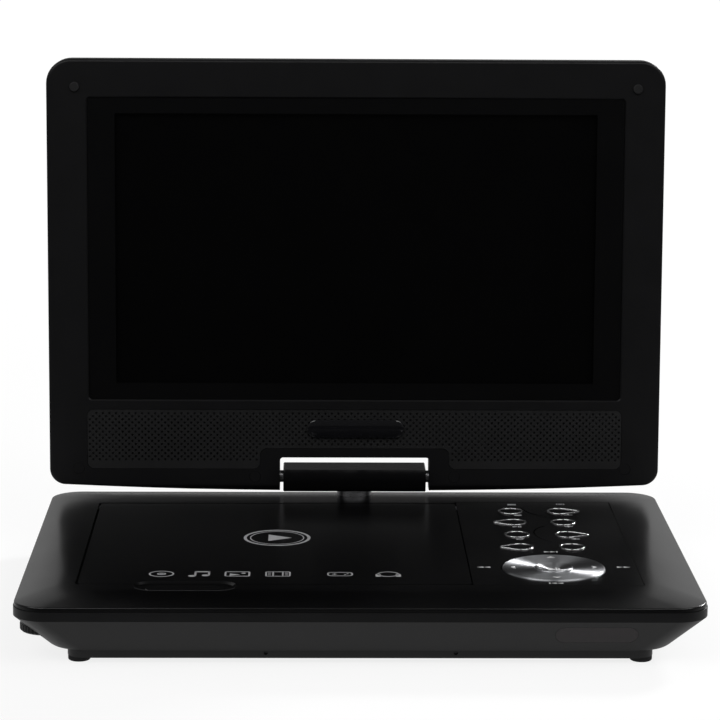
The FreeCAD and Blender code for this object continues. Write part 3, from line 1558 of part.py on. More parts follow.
def display_surround():
    """The glossy frame in the bezel's opening, with a flange behind the bezel."""
    p, g, front = surround_play, surround_lap, screen_front + surround_recess
    a, low, high = opening_half, opening_low, opening_high
    frame = pane(p - a, a - p, low + p, high - p, opening_corner, front, surround_back)
    flange = pane(-a - g, a + g, low - g, high + g, opening_corner, bezel_inner, surround_back)
    a = active_half
    return join(frame, flange).cut(pane(-a, a, active_low, active_high, active_corner, -FAR, FAR))


def display_layer(y0, y1):
    a = active_half + glass_margin
    return pane(-a, a, active_low - glass_margin, active_high + glass_margin, active_corner, y0, y1)


def speakers():
    solids = []
    y, middle = bezel_inner, (speaker_low + speaker_high) / 2
    steps = (
        (0, y, y + speaker_flange),
        (speaker_rim, y, y + speaker_depth),
        (speaker_rim + 1, y - OVER, y + 1.6),
    )
    for side in (-1, 1):
        blocks = []
        for rim, y0, y1 in steps:
            x0, x1 = side * speaker_x - speaker_half + rim, side * speaker_x + speaker_half - rim
            blocks.append(pane(x0, x1, speaker_low + rim, speaker_high - rim, speaker_corner, y0, y1))
        flange, basket, dish = blocks
        dome = across(speaker_dome_r, side * speaker_x, middle, y + 0.6, y + 2)
        solids.append(join(less(join(flange, basket), dish), dome))
    return solids


def badge_plate():
    half, h, front = badge_length / 2, badge_height / 2, screen_front - badge_proud
    back = screen_front + grille_recess
    plate = pane(badge_x - half, badge_x + half, badge_z - h, badge_z + h, h, front, back)
    return plate.makeFillet(0.3, edges_at_y(plate, front))


def bumpers():
    solids, front = [], screen_front - bumper_proud
    for x in (-bumper_x, bumper_x):
        pad = across(bumper_r, x, bumper_z, front, screen_front + bumper_seat)
        solids.append(pad.makeFillet(0.5, edges_at_y(pad, front)))
    return solids


def bezel_plugs():
    solids, front = [], screen_front + 0.1
    for x, z in plug_spots:
        plug = across(plug_r, x, z, front, screen_front + plug_seat)
        solids.append(plug.makeFillet(0.2, edges_at_y(plug, front)))
    return solids


def tilt_brackets():
    solids = []
    for side in (-1, 1):
        x0, x1 = sorted((side * bracket_x, side * (bracket_x + bracket_width)))
        barrel = rod(bracket_r, (x0, 0, 0), (x1, 0, 0))
        plate = box(x0, x1, cover_inner - bracket_plate, cover_inner, 0, bracket_top)
        cuts = [rod(axle_r + bracket_play, (x0 - OVER, 0, 0), (x1 + OVER, 0, 0))]
        cuts += [across(screw_core_r, x, z, 0, FAR) for x, z in bracket_screw_spots()]
        solids.append(less(join(barrel, plate), *cuts))
    return solids


def driver_board():
    y = backlight_back
    chips = []
    for x, z, size in driver_chips:
        h = size / 2
        chips.append(box(x - h, x + h, y + 0.9, y + 1.0 + driver_chip, z - h, z + h))
    return join(pane(-driver_half, driver_half, driver_low, driver_high, 1.0, y, y + 1.0), *chips)


def base_parts():
    save("base_top_shell", top_shell())
    save("base_lower_housing", lower_housing())
    save("rubber_feet", *feet())
    save("base_screws", *base_screws())
    save("inner_screws", *inner_screws())
    save("disc_deck", disc_deck())
    save("control_panel_plate", panel_plate())
    save("key_rings", *key_rings())
    save("key_board", key_board())
    save("main_board", main_board())
    save("jack_board", jack_board())
    save("battery_pack", *battery_cells())
    save("audio_jacks", *[round_jack(y, plug_bore_r, plug_bore_depth, 0) for y in (phones_y, av_y)])
    save("dc_inlet", round_jack(dc_y, dc_bore_r, dc_bore_depth, dc_pin_r))
    save("usb_socket", usb_socket())
    save("card_slot", card_slot())
    save("ir_window", ir_window())
    save("swivel_bearing", *swivel_bearing())
    save("catch_spring", catch_spring())


def mech_parts():
    save("mech_chassis", mech_chassis())
    save("mech_dampers", *mech_dampers())
    save("spindle_motor", spindle_motor())
    save("spindle_rotor", spindle_rotor())
    save("guide_rods", *guide_rods())
    save("pickup_sled", *pickup_sled())
    save("sled_motor", sled_motor())
    save("lead_screw", lead_screw())


def moving_parts():
    save("disc_lid", disc_lid())
    save("lid_hinge_pins", *lid_pins())
    save("open_button", open_button())
    for number, (x, y, side) in enumerate(key_places(), 1):
        save(f"key_{number}", key_cap(x, y, side))
    save("nav_disc", nav_disc())
    save("nav_pivot_ring", nav_pivot_ring())
    save("ok_button", ok_button())
    save("power_knob", power_knob())
    save("volume_wheel", volume_wheel())
    save("swivel_post", *swivel_post())
    save("tilt_axles", *tilt_axles())
    save("hinge_block_lower", hinge_block(-FAR, block_split))
    save("hinge_block_upper", hinge_block(block_split, FAR))


def screen_parts():
    grille_front = screen_front + grille_recess
    pieces = {
        "screen_front_bezel": [front_bezel()],
        "screen_back_cover": [back_cover()],
        "screen_screws": screen_screws(),
        "display_surround": [display_surround()],
        "display_panel": [display_layer(surround_back, glass_back)],
        "backlight_frame": [display_layer(glass_back, backlight_back)],
        "driver_board": [driver_board()],
        "speaker_grille": [grille_block(grille_play, grille_front, grille_front + grille_thick)],
        "speakers": speakers(),
        "badge_plate": [badge_plate()],
        "bezel_bumpers": bumpers(),
        "bezel_plugs": bezel_plugs(),
        "tilt_brackets": tilt_brackets(),
    }
    for name, shapes in pieces.items():
        save(name, *[to_place(s) for s in shapes])


os.makedirs("parts", exist_ok=True)
base_parts()
mech_parts()
moving_parts()
screen_parts()
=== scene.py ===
import json
import logging
import math
from dataclasses import dataclass, field
from enum import Enum

import bmesh
import bpy
import numpy as np
from mathutils import Matrix, Vector
from mathutils.geometry import delaunay_2d_cdt
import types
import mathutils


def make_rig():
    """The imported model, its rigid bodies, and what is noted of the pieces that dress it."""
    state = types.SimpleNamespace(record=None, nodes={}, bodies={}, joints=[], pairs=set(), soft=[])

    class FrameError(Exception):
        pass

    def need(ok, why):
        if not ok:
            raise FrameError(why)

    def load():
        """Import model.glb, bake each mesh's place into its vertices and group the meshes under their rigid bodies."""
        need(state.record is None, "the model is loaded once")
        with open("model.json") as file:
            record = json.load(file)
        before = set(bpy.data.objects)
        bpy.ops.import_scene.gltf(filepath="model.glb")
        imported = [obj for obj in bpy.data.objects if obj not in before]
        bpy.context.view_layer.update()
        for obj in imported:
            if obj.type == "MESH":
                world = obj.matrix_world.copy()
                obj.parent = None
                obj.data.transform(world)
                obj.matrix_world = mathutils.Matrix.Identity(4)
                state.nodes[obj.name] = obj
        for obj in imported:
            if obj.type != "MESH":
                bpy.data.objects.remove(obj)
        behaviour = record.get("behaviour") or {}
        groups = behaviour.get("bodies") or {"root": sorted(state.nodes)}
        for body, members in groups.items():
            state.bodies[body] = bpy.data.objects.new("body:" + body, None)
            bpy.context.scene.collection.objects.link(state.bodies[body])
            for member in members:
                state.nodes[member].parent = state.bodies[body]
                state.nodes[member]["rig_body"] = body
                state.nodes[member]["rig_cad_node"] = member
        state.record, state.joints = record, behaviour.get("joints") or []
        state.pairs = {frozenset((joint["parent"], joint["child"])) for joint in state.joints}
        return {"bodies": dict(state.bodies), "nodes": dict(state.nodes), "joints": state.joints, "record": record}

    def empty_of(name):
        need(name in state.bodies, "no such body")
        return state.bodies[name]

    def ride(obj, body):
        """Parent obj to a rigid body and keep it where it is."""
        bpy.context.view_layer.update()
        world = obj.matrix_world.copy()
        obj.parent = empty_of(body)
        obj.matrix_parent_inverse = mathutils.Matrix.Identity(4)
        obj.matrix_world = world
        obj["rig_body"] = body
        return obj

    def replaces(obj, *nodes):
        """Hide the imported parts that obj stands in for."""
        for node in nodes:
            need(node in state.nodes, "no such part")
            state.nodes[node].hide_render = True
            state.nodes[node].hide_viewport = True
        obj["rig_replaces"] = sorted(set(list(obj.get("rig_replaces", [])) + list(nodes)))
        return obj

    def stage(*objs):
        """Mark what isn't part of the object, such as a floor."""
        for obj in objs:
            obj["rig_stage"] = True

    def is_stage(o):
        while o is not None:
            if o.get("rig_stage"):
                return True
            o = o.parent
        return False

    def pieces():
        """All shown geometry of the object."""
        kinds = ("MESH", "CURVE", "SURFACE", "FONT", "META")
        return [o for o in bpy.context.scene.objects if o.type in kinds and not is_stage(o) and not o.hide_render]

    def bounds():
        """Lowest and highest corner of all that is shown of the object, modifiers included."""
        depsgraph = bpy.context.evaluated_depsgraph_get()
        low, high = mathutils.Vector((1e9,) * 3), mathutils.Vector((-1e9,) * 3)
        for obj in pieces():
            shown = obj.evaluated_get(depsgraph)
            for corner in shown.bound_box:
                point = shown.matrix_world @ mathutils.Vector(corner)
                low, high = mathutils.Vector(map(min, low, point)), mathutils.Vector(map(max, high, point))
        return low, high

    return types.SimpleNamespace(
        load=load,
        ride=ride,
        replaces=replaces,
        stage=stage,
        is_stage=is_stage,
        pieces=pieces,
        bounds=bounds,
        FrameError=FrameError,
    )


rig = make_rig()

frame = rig.load()

log = logging.getLogger("disc_player")
Point = tuple[float, float]
Triple = tuple[float, float, float]
Key = tuple[float, float, int]
Socket = bpy.types.NodeSocket

MM = 0.001
TURN = 2 * math.pi
SAME_POINT_M = 1e-7
# The base's top face, and the undersides and upper sides of what is printed and drawn on it
TOP_Z = 25.0
PRINT_LAYER = (TOP_Z - 0.02, TOP_Z + 0.03)
LINE_LAYER = (TOP_Z - 0.05, TOP_Z + 0.012)


# Node sheets and finishes


class NodeSheet:
    """The node tree of one material, with short calls to add and wire nodes."""

    def __init__(self, tree: bpy.types.NodeTree, shader: str = "Principled BSDF") -> None:
        """Takes the tree of a new material or world.

        Args:
            tree: The tree, which holds its shader already.
            shader: The shader's name.
        """
        self.tree = tree
        self.shader = tree.nodes[shader]
        self.place = tree.nodes.new("ShaderNodeTexCoord").outputs["Object"]

    def add(self, kind: str, inputs: dict | None = None, **settings: object) -> bpy.types.Node:
        """Adds a node, sets its properties, and fills or wires its inputs.

        Args:
            kind: Blender's name of the node type.
            inputs: Input name or number to a value, or to an output socket to wire.
            **settings: Properties of the node itself.

        Returns:
            The new node.
        """
        node = self.tree.nodes.new(kind)
        for name, value in settings.items():
            setattr(node, name, value)
        for key, value in (inputs or {}).items():
            self.fill(node.inputs[key], value)
        return node

    def fill(self, socket: Socket, value: object) -> None:
        """Wires an output into a socket, or sets the socket's own value."""
        if isinstance(value, Socket):
            self.tree.links.new(value, socket)
        else:
            socket.default_value = value

    def set(self, **values: object) -> None:
        """Fills the shader's sockets, named in words joined by underscores."""
        for name, value in values.items():
            self.fill(self.shader.inputs[name.replace("_", " ")], value)

    def noise(self, size_mm: float, detail: float = 3.0, stretch: Triple = (1, 1, 1)) -> Socket:
        """Noise whose blots are about one size.

        Args:
            size_mm: The blots' size in millimetres.
            detail: How many finer layers lie over it.
            stretch: How many times finer it is along each axis.

        Returns:
            The noise's value, from 0 to 1.
        """
        where = self.add("ShaderNodeMapping", {"Vector": self.place, "Scale": stretch}).outputs[0]
        scale = 1.0 / (size_mm * MM)
        inputs = {"Vector": where, "Scale": scale, "Detail": detail}
        return self.add("ShaderNodeTexNoise", inputs).outputs[0]

    def spread(
        self, value: Socket, low: float, high: float, start: float = 0.3, end: float = 0.7
    ) -> Socket:
        """Maps a stretch of a value onto a range. Left out, it is the middle stretch of a noise.

        Args:
            value: The value.
            low: The result at the stretch's start.
            high: The result at its end.
            start: Where the stretch starts.
            end: Where it ends.

        Returns:
            The mapped value.
        """
        inputs = {"Value": value, "From Min": start, "From Max": end, "To Min": low, "To Max": high}
        return self.add("ShaderNodeMapRange", inputs).outputs[0]

    def maths(self, operation: str, *values: object, vector: bool = False) -> Socket:
        """The result of a maths node.

        Args:
            operation: Blender's name of the operation.
            *values: The numbers, vectors or sockets it works on.
            vector: Whether they are vectors.

        Returns:
            The result's socket.
        """
        kind = "ShaderNodeVectorMath" if vector else "ShaderNodeMath"
        outputs = self.add(kind, dict(enumerate(values)), operation=operation).outputs
        return outputs["Value" if operation == "LENGTH" else 0]

    def tint(self, share: Socket, first: tuple[float, ...], second: tuple[float, ...]) -> Socket:
        """Mixes two colours by a share from 0 to 1."""
        inputs = {0: share, 6: (*first, 1), 7: (*second, 1)}
        return self.add("ShaderNodeMix", inputs, data_type="RGBA").outputs[2]

    def bump(self, height: Socket, depth_mm: float, under: Socket | None = None) -> Socket:
        """A bump of a real depth, laid over another if one is given.

        Args:
            height: The height from 0 to 1.
            depth_mm: The depth that 1 stands for.
            under: The normal of the layer below.

        Returns:
            The bumped normal.
        """
        inputs = {"Height": height, "Distance": depth_mm * MM, "Strength": 1.0}
        if under:
            inputs["Normal"] = under
        return self.add("ShaderNodeBump", inputs).outputs[0]


@dataclass(frozen=True)
class Finish:
    """What all finishes share: a name, a colour and a roughness."""

    name: str
    colour: Triple
    roughness: float = 0.4
    shine: float = 0.5

    def material(self) -> bpy.types.Material:
        """Returns the finish's material, and makes it at its first use."""
        found = bpy.data.materials.get(self.name)
        if found:
            return found
        made = bpy.data.materials.new(self.name)
        made.use_nodes = True
        self.dress(NodeSheet(made.node_tree))
        return made

    def dress(self, sheet: NodeSheet) -> None:
        """Builds the finish's nodes."""
        raise NotImplementedError

    def varied(self, sheet: NodeSheet, amount: float, size_mm: float) -> Socket:
        """The finish's colour, a little darker and lighter in broad blots.

        Args:
            sheet: The material's nodes.
            amount: The share by which it goes up and down.
            size_mm: The blots' size.

        Returns:
            The colour's socket.
        """
        dark, light = ([c * k for c in self.colour] for k in (1 - amount, 1 + amount))
        return sheet.tint(sheet.spread(sheet.noise(size_mm), 0, 1), tuple(dark), tuple(light))


@dataclass(frozen=True)
class Moulded(Finish):
    """Plastic with the fine grain of an eroded mould."""

    grain_mm: float = 0.5
    grain_depth_mm: float = 0.012
    sheen_mm: float = 24.0
    sheen_low: float = 0.012
    sheen_high: float = 0.015

    def dress(self, sheet: NodeSheet) -> None:
        """Broad sheen blots in roughness, two layers of grain, and a faintly uneven colour."""
        broad = sheet.noise(self.sheen_mm, 2)
        fine = sheet.noise(self.grain_mm, 2)
        coarse = sheet.noise(self.grain_mm * 3.1, 1)
        normal = sheet.bump(coarse, self.grain_depth_mm * 0.6)
        sheet.set(
            Base_Color=self.varied(sheet, 0.12, 9.0),
            Roughness=sheet.spread(broad, self.roughness - self.sheen_low, self.roughness + self.sheen_high),
            Normal=sheet.bump(fine, self.grain_depth_mm, normal),
            Specular_IOR_Level=self.shine,
        )


@dataclass(frozen=True)
class Gloss(Finish):
    """Polished plastic or glass-like sheet, with faint ripples and wiping marks."""

    ripple_mm: float = 0.002

    def dress(self, sheet: NodeSheet) -> None:
        """Wiping marks in roughness, and the slow ripple of a moulded gloss face."""
        marks = sheet.noise(6.0, 4, (1.0, 0.25, 1.0))
        sheet.set(
            Base_Color=self.varied(sheet, 0.08, 30.0),
            Roughness=sheet.spread(marks, self.roughness * 0.8, self.roughness * 1.35),
            Normal=sheet.bump(sheet.noise(18.0, 1), self.ripple_mm),
            Specular_IOR_Level=self.shine,
        )


@dataclass(frozen=True)
class BrightMetal(Finish):
    """Bright plating."""

    def dress(self, sheet: NodeSheet) -> None:
        """Metal with a slightly uneven polish."""
        sheet.set(
            Base_Color=self.varied(sheet, 0.03, 4.0),
            Metallic=1.0,
            Roughness=sheet.spread(sheet.noise(2.0, 3), self.roughness * 0.7, self.roughness * 1.4),
        )


@dataclass(frozen=True)
class SpunMetal(Finish):
    """Metal turned on a lathe: its fine rings about a centre gather the light in spokes."""

    centre: Point = (0.0, 0.0)
    ring_mm: float = 1.1

    def dress(self, sheet: NodeSheet) -> None:
        """Anisotropic metal whose tangent points away from the centre, with faint rings in its colour."""
        middle = (self.centre[0] * MM, self.centre[1] * MM, 0)
        away = sheet.maths("SUBTRACT", sheet.place, middle, vector=True)
        flat = sheet.maths("MULTIPLY", away, (1, 1, 0), vector=True)
        length = sheet.maths("LENGTH", flat, vector=True)
        rings = sheet.maths("SINE", sheet.maths("MULTIPLY", length, TURN / (self.ring_mm * MM)))
        dim = tuple(0.9 * c for c in self.colour)
        sheet.set(
            Base_Color=sheet.tint(sheet.spread(rings, 0, 1, -1, 1), dim, self.colour),
            Metallic=1.0,
            Roughness=sheet.spread(sheet.noise(1.5, 2), self.roughness * 0.9, self.roughness * 1.15),
            Anisotropic=0.9,
            Tangent=sheet.maths("NORMALIZE", flat, vector=True),
        )


@dataclass(frozen=True)
class BrushedSteel(Finish):
    """Steel with short drawn marks along one axis."""

    along: Triple = (0.08, 1.0, 1.0)

    def dress(self, sheet: NodeSheet) -> None:
        """Stretched noise in colour, roughness and bump."""
        marks = sheet.noise(0.35, 4, self.along)
        sheet.set(
            Base_Color=self.varied(sheet, 0.08, 6.0),
            Metallic=1.0,
            Roughness=sheet.spread(marks, self.roughness - 0.07, self.roughness + 0.1),
            Normal=sheet.bump(marks, 0.003),
        )


@dataclass(frozen=True)
class Rubber(Finish):
    """Soft matt rubber with a dusty tooth."""

    def dress(self, sheet: NodeSheet) -> None:
        """Dust in the colour, and a coarse tooth."""
        sheet.set(
            Base_Color=self.varied(sheet, 0.3, 1.4),
            Roughness=sheet.spread(sheet.noise(1.0, 3), self.roughness - 0.08, self.roughness + 0.06),
            Normal=sheet.bump(sheet.noise(0.3, 3), 0.02),
        )


@dataclass(frozen=True)
class CircuitBoard(Finish):
    """A lacquered board with copper tracks under the lacquer."""

    track: Triple = (0.05, 0.22, 0.09)

    def dress(self, sheet: NodeSheet) -> None:
        """Brick cells drawn as tracks, a little proud under the lacquer."""
        board, track = (*self.colour, 1), (*self.track, 1)
        inputs = {"Vector": sheet.place, "Color1": board, "Color2": board, "Mortar": track}
        inputs |= {"Scale": 90.0, "Mortar Size": 0.06, "Brick Width": 0.7, "Row Height": 0.31}
        bricks = sheet.add("ShaderNodeTexBrick", inputs)
        sheet.set(
            Base_Color=bricks.outputs["Color"],
            Roughness=sheet.spread(sheet.noise(5.0), self.roughness - 0.05, self.roughness + 0.1),
            Normal=sheet.bump(bricks.outputs["Fac"], 0.02),
        )


class Look(Enum):
    """Every finish on the player.

    Moulded plastic: name, colour, roughness, shine, grain, depth of the grain and size of the sheen's blots.
    Gloss plastic: name, colour, roughness, shine and ripple. The others end with their roughness.
    """

    SATIN = Moulded("satin_black_plastic", (0.0014, 0.0014, 0.0016), 0.22, 0.5, 0.45, 0.004, 30.0)
    BEZEL = Moulded("bezel_black_plastic", (0.0040, 0.0040, 0.0046), 0.42, 0.3, 0.55, 0.010, 26.0)
    HOUSING = Moulded("housing_black_plastic", (0.0042, 0.0042, 0.0047), 0.36, 0.5, 0.6, 0.010, 22.0)
    PANEL = Moulded("panel_black_plastic", (0.0016, 0.0016, 0.0018), 0.22, 0.5, 0.4, 0.003, 28.0)
    GRILLE = Moulded("grille_black", (0.0085, 0.0085, 0.0090), 0.40, 0.6, 0.5, 0.004, 20.0)
    # Near-black colour of the plate behind the grille's holes: painted shade.
    HOLE_SHADE_PLATE = Moulded("grille_painted_shade", (0.0008, 0.0008, 0.0008), 0.9, 0.1, 0.3, 0.03, 8.0)
    KEYS = Gloss("key_gloss_plastic", (0.003, 0.003, 0.0032), 0.16)
    HINGE = Gloss("hinge_gloss_plastic", (0.0024, 0.0024, 0.0028), 0.16, 0.2)
    SURROUND = Gloss("surround_gloss_plastic", (0.0028, 0.0028, 0.0030), 0.12, 0.3)
    DISPLAY = Gloss("display_sheet", (0.0015, 0.0015, 0.0016), 0.2, 0.1, 0.0006)
    WINDOW = Gloss("receiver_window", (0.009, 0.006, 0.007), 0.14)
    BADGE = Gloss("badge_gloss", (0.004, 0.004, 0.005), 0.07, 0.8)
    RINGS = BrightMetal("ring_plating", (0.86, 0.86, 0.87), 0.16)
    DIAL = SpunMetal("dial_spun_silver", (0.58, 0.59, 0.61), 0.4, centre=(73.1, -43.0))
    OK = SpunMetal("ok_spun_silver", (0.7, 0.71, 0.73), 0.36, centre=(73.1, -43.0))
    STEEL = BrushedSteel("drawn_steel", (0.56, 0.56, 0.58), 0.3)
    SCREWS = BrushedSteel("black_screw_steel", (0.06, 0.06, 0.065), 0.35)
    RUBBER = Rubber("black_rubber", (0.0035, 0.0035, 0.004), 0.72)
    DECK = Moulded("deck_plastic", (0.014, 0.014, 0.015), 0.5, 0.5, 0.5, 0.01, 20.0)
    INNER = Moulded("inner_plastic", (0.04, 0.04, 0.044), 0.55, 0.5, 0.6, 0.02, 12.0)
    WHITE = Moulded("white_plastic", (0.62, 0.62, 0.6), 0.5, 0.5, 0.6, 0.01, 12.0)
    CELLS = Moulded("cell_wrap", (0.03, 0.08, 0.3), 0.35, 0.5, 1.0, 0.008, 12.0)
    BOARD = CircuitBoard("board_lacquer", (0.012, 0.11, 0.04), 0.3)
    PRINT = Moulded("silver_print", (0.44, 0.44, 0.45), 0.38, 0.5, 0.3, 0.004, 4.0)
    WHITE_PRINT = Moulded("white_print", (0.8, 0.8, 0.8), 0.3, 0.5, 0.3, 0.003, 4.0)
    # Lighter plastic colour that paints the highlight on the front edge of the finger recess.
    EDGE_HIGHLIGHT_PAINT = Moulded("painted_edge_highlight", (0.05, 0.05, 0.052), 0.3, 0.5, 0.3, 0.003, 6.0)
    # Near-black colour that paints the shadow in the seams and the shade in the engraved grooves.
    GAP_SHADE_PAINT = Moulded("painted_gap_shade", (0.0002, 0.0002, 0.0002), 0.7, 0.02, 0.3, 0.01, 4.0)


# Mesh making


@dataclass
class Surface:
    """Vertices in millimetres and the faces between them."""

    points: np.ndarray
    faces: list


def gather(surfaces: list[Surface]) -> Surface:
    """Puts a list of surfaces into one."""
    faces, shift = [], 0
    for surface in surfaces:
        faces += [[i + shift for i in face] for face in surface.faces]
        shift += len(surface.points)
    return Surface(np.vstack([surface.points for surface in surfaces]), faces)


def grid_faces(rows: int, columns: int, closed: bool) -> list:
    """Faces between the points of a grid whose columns go round.

    Args:
        rows: Points along the first parameter.
        columns: Points round the second.
        closed: Whether the last row joins the first. If not, a flat face closes each end.

    Returns:
        The faces as lists of vertex numbers.
    """
    i, j = np.meshgrid(np.arange(rows if closed else rows - 1), np.arange(columns), indexing="ij")
    i, j = i.ravel(), j.ravel()
    i2, j2 = (i + 1) % rows, (j + 1) % columns
    faces = np.column_stack([i * columns + j, i2 * columns + j, i2 * columns + j2, i * columns + j2]).tolist()
    if not closed:
        last = (rows - 1) * columns
        faces += [list(range(columns))[::-1], list(range(last, last + columns))]
    return faces


def revolve(profile: list[Point], centre: Point, steps: int, closed: bool = True) -> Surface:
    """A profile turned about an upright line: x = cx + r cos t, y = cy + r sin t.

    Args:
        profile: Radii and heights, going round counter-clockwise.
        centre: The line's place.
        steps: Points round a turn.
        closed: Whether the profile's end joins its start. If not, flat faces close both.

    Returns:
        The closed surface.
    """
    turn = np.linspace(0, TURN, steps, endpoint=False)
    r, z = np.array(profile).T
    x = centre[0] + r[:, None] * np.cos(turn)
    y = centre[1] + r[:, None] * np.sin(turn)
    points = np.stack([x, y, np.broadcast_to(z[:, None], x.shape)], axis=-1).reshape(-1, 3)
    return Surface(points, grid_faces(len(profile), steps, closed))


def ring_along(path: np.ndarray, section: list[Point]) -> Surface:
    """A closed bar along a flat closed path: point = path + out * normal, z = height.

    Args:
        path: Points of the path in X and Y, counter-clockwise.
        section: Distances outward from the path and heights, going round.

    Returns:
        The closed surface.
    """
    ahead = np.roll(path, -1, axis=0) - np.roll(path, 1, axis=0)
    ahead /= np.linalg.norm(ahead, axis=1)[:, None]
    normal = np.column_stack([ahead[:, 1], -ahead[:, 0]])
    out, high = np.array(section).T
    flat = path[None, :, :] + out[:, None, None] * normal[None, :, :]
    points = np.concatenate([flat, np.broadcast_to(high[:, None, None], (*flat.shape[:2], 1))], axis=-1)
    return Surface(points.reshape(-1, 3), grid_faces(len(section), len(path), True))


def sheet_of(outline: np.ndarray, low: float, high: float) -> Surface:
    """A thin plate over a flat outline, with one face above, one below and a wall round it."""
    n = len(outline)
    bottom = np.column_stack([outline, np.full(n, low)])
    top = np.column_stack([outline, np.full(n, high)])
    wall = [[k, (k + 1) % n, n + (k + 1) % n, n + k] for k in range(n)]
    return Surface(np.vstack([bottom, top]), wall + [list(range(n))[::-1], list(range(n, 2 * n))])


def ribbon(path: np.ndarray, half: np.ndarray) -> Surface:
    """A line drawn on the base's top face.

    Args:
        path: The line's points in X and Y.
        half: Half its width at each point.

    Returns:
        The line as a thin plate.
    """
    ahead = np.gradient(path, axis=0)
    ahead /= np.linalg.norm(ahead, axis=1)[:, None]
    side = np.column_stack([-ahead[:, 1], ahead[:, 0]]) * half[:, None]
    return sheet_of(np.vstack([path - side, (path + side)[::-1]]), *LINE_LAYER)


def arc(cx: float, cy: float, r: float, start: float, end: float, steps: int) -> np.ndarray:
    """Points of an arc between two angles in degrees."""
    turn = np.radians(np.linspace(start, end, steps))
    return np.column_stack([cx + r * np.cos(turn), cy + r * np.sin(turn)])


def rounded_outline(points: list[Point], r: float, steps: int = 7) -> np.ndarray:
    """An outline through corner points, each rounded to one radius.

    Args:
        points: The corners in order.
        r: The corners' radius.
        steps: Points on each corner.

    Returns:
        The outline's points.
    """
    rows = []
    for k, corner in enumerate(points):
        here = np.array(corner)
        back, on = (np.array(points[i % len(points)]) - here for i in (k - 1, k + 1))
        back, on = back / np.linalg.norm(back), on / np.linalg.norm(on)
        half = math.acos(float(back @ on)) / 2
        middle = here + (back + on) / np.linalg.norm(back + on) * r / math.sin(half)
        start, end = here + back * r / math.tan(half) - middle, here + on * r / math.tan(half) - middle
        a, b = math.atan2(start[1], start[0]), math.atan2(end[1], end[0])
        b = a + (b - a + math.pi) % TURN - math.pi
        rows.append(arc(middle[0], middle[1], r, math.degrees(a), math.degrees(b), steps))
    return np.vstack(rows)


def even_normals(mesh: bpy.types.Mesh, crease: float) -> None:
    """Lets wide faces lead the shading at their edges: n(corner) = sum of area * normal over near faces.

    Args:
        mesh: The mesh whose corners get normals of their own.
        crease: A face at the corner's vertex is near if it turns by fewer degrees from the corner's own.
    """
    faces, corners = len(mesh.polygons), len(mesh.loops)
    normal, area, sides = np.empty(faces * 3), np.empty(faces), np.empty(faces, dtype=np.int64)
    vertex = np.empty(corners, dtype=np.int64)
    mesh.polygons.foreach_get("normal", normal)
    mesh.polygons.foreach_get("area", area)
    mesh.polygons.foreach_get("loop_total", sides)
    mesh.loops.foreach_get("vertex_index", vertex)
    normal = normal.reshape(-1, 3)
    order = np.argsort(vertex, kind="stable")
    owner = np.repeat(np.arange(faces), sides)[order]
    first = np.searchsorted(vertex[order], vertex[order], "left")
    count = np.searchsorted(vertex[order], vertex[order], "right") - first
    one = np.repeat(np.arange(corners), count)
    other = np.repeat(first, count) + np.arange(len(one)) - np.repeat(np.cumsum(count) - count, count)
    near = np.einsum("ij,ij->i", normal[owner[one]], normal[owner[other]]) > math.cos(math.radians(crease))
    total = np.zeros((corners, 3))
    np.add.at(total, order[one[near]], (normal * area[:, None])[owner[other[near]]])
    size = np.linalg.norm(total, axis=1)
    total[size > 0] /= size[size > 0, None]
    mesh.normals_split_custom_set(total.tolist())


def shade(mesh: bpy.types.Mesh, finish: Look, near: float, crease: float, turn: bool) -> None:
    """Merges a mesh's close points, shades it smoothly up to its creases, and gives it one finish.

    Args:
        mesh: The mesh.
        finish: What it is finished in.
        near: Points this close to each other, in metres, become one.
        crease: Edges that turn by more degrees than this stay sharp.
        turn: Whether its faces are first turned outward.
    """
    work = bmesh.new()
    work.from_mesh(mesh)
    bmesh.ops.remove_doubles(work, verts=work.verts, dist=near)
    if turn:
        bmesh.ops.recalc_face_normals(work, faces=work.faces)
    work.to_mesh(mesh)
    work.free()
    mesh.shade_smooth()
    even_normals(mesh, crease)
    paint(mesh, finish)


def paint(mesh: bpy.types.Mesh, finish: Look) -> None:
    """Gives a mesh one finish in place of what it has."""
    mesh.materials.clear()
    mesh.materials.append(finish.value.material())


def stand(name: str, data: bpy.types.ID) -> bpy.types.Object:
    """Makes an object from its data and puts it into the scene."""
    made = bpy.data.objects.new(name, data)
    bpy.context.scene.collection.objects.link(made)
    return made


def make_piece(
    name: str,
    surface: Surface,
    body: str,
    finish: Look,
    replaced: tuple[str, ...] = (),
    crease: float = 35.0,
) -> None:
    """Puts a surface into a mesh object that rides on a body.

    Args:
        name: The piece's name.
        surface: Its vertices in millimetres and its faces.
        body: The CAD body that carries it.
        finish: What it is finished in.
        replaced: The CAD nodes that it stands for.
        crease: Edges that turn by more degrees than this stay sharp.
    """
    mesh = bpy.data.meshes.new(name)
    mesh.from_pydata((surface.points * MM).tolist(), [], surface.faces)
    shade(mesh, finish, SAME_POINT_M, crease, turn=True)
    piece = stand(name, mesh)
    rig.ride(piece, body)
    if replaced:
        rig.replaces(piece, *replaced)


# Carried CAD nodes


@dataclass
class CarriedNodes:
    """The CAD nodes that keep their shape: each gets its finish, and the round ones smooth shading."""

    smoothed: dict[str, Look]
    plain: dict[str, Look]
    near: float = 2e-6
    crease: float = 24.0

    def dress(self) -> None:
        """Finishes every node, and stands a merged, smoothly shaded copy in for each round one."""
        bodies = frame["record"]["behaviour"]["bodies"]
        body_of = {node: body for body, nodes in bodies.items() for node in nodes}
        for name, finish in self.smoothed.items():
            mesh = frame["nodes"][name].data.copy()
            mesh.name = f"{name}_smooth"
            shade(mesh, finish, self.near, self.crease, turn=False)
            piece = stand(f"{name}_shell", mesh)
            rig.ride(piece, body_of[name])
            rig.replaces(piece, name)
        for name, finish in self.plain.items():
            paint(frame["nodes"][name].data, finish)
        log.info("carried nodes: %d finished", len(self.smoothed) + len(self.plain))


# Symbols


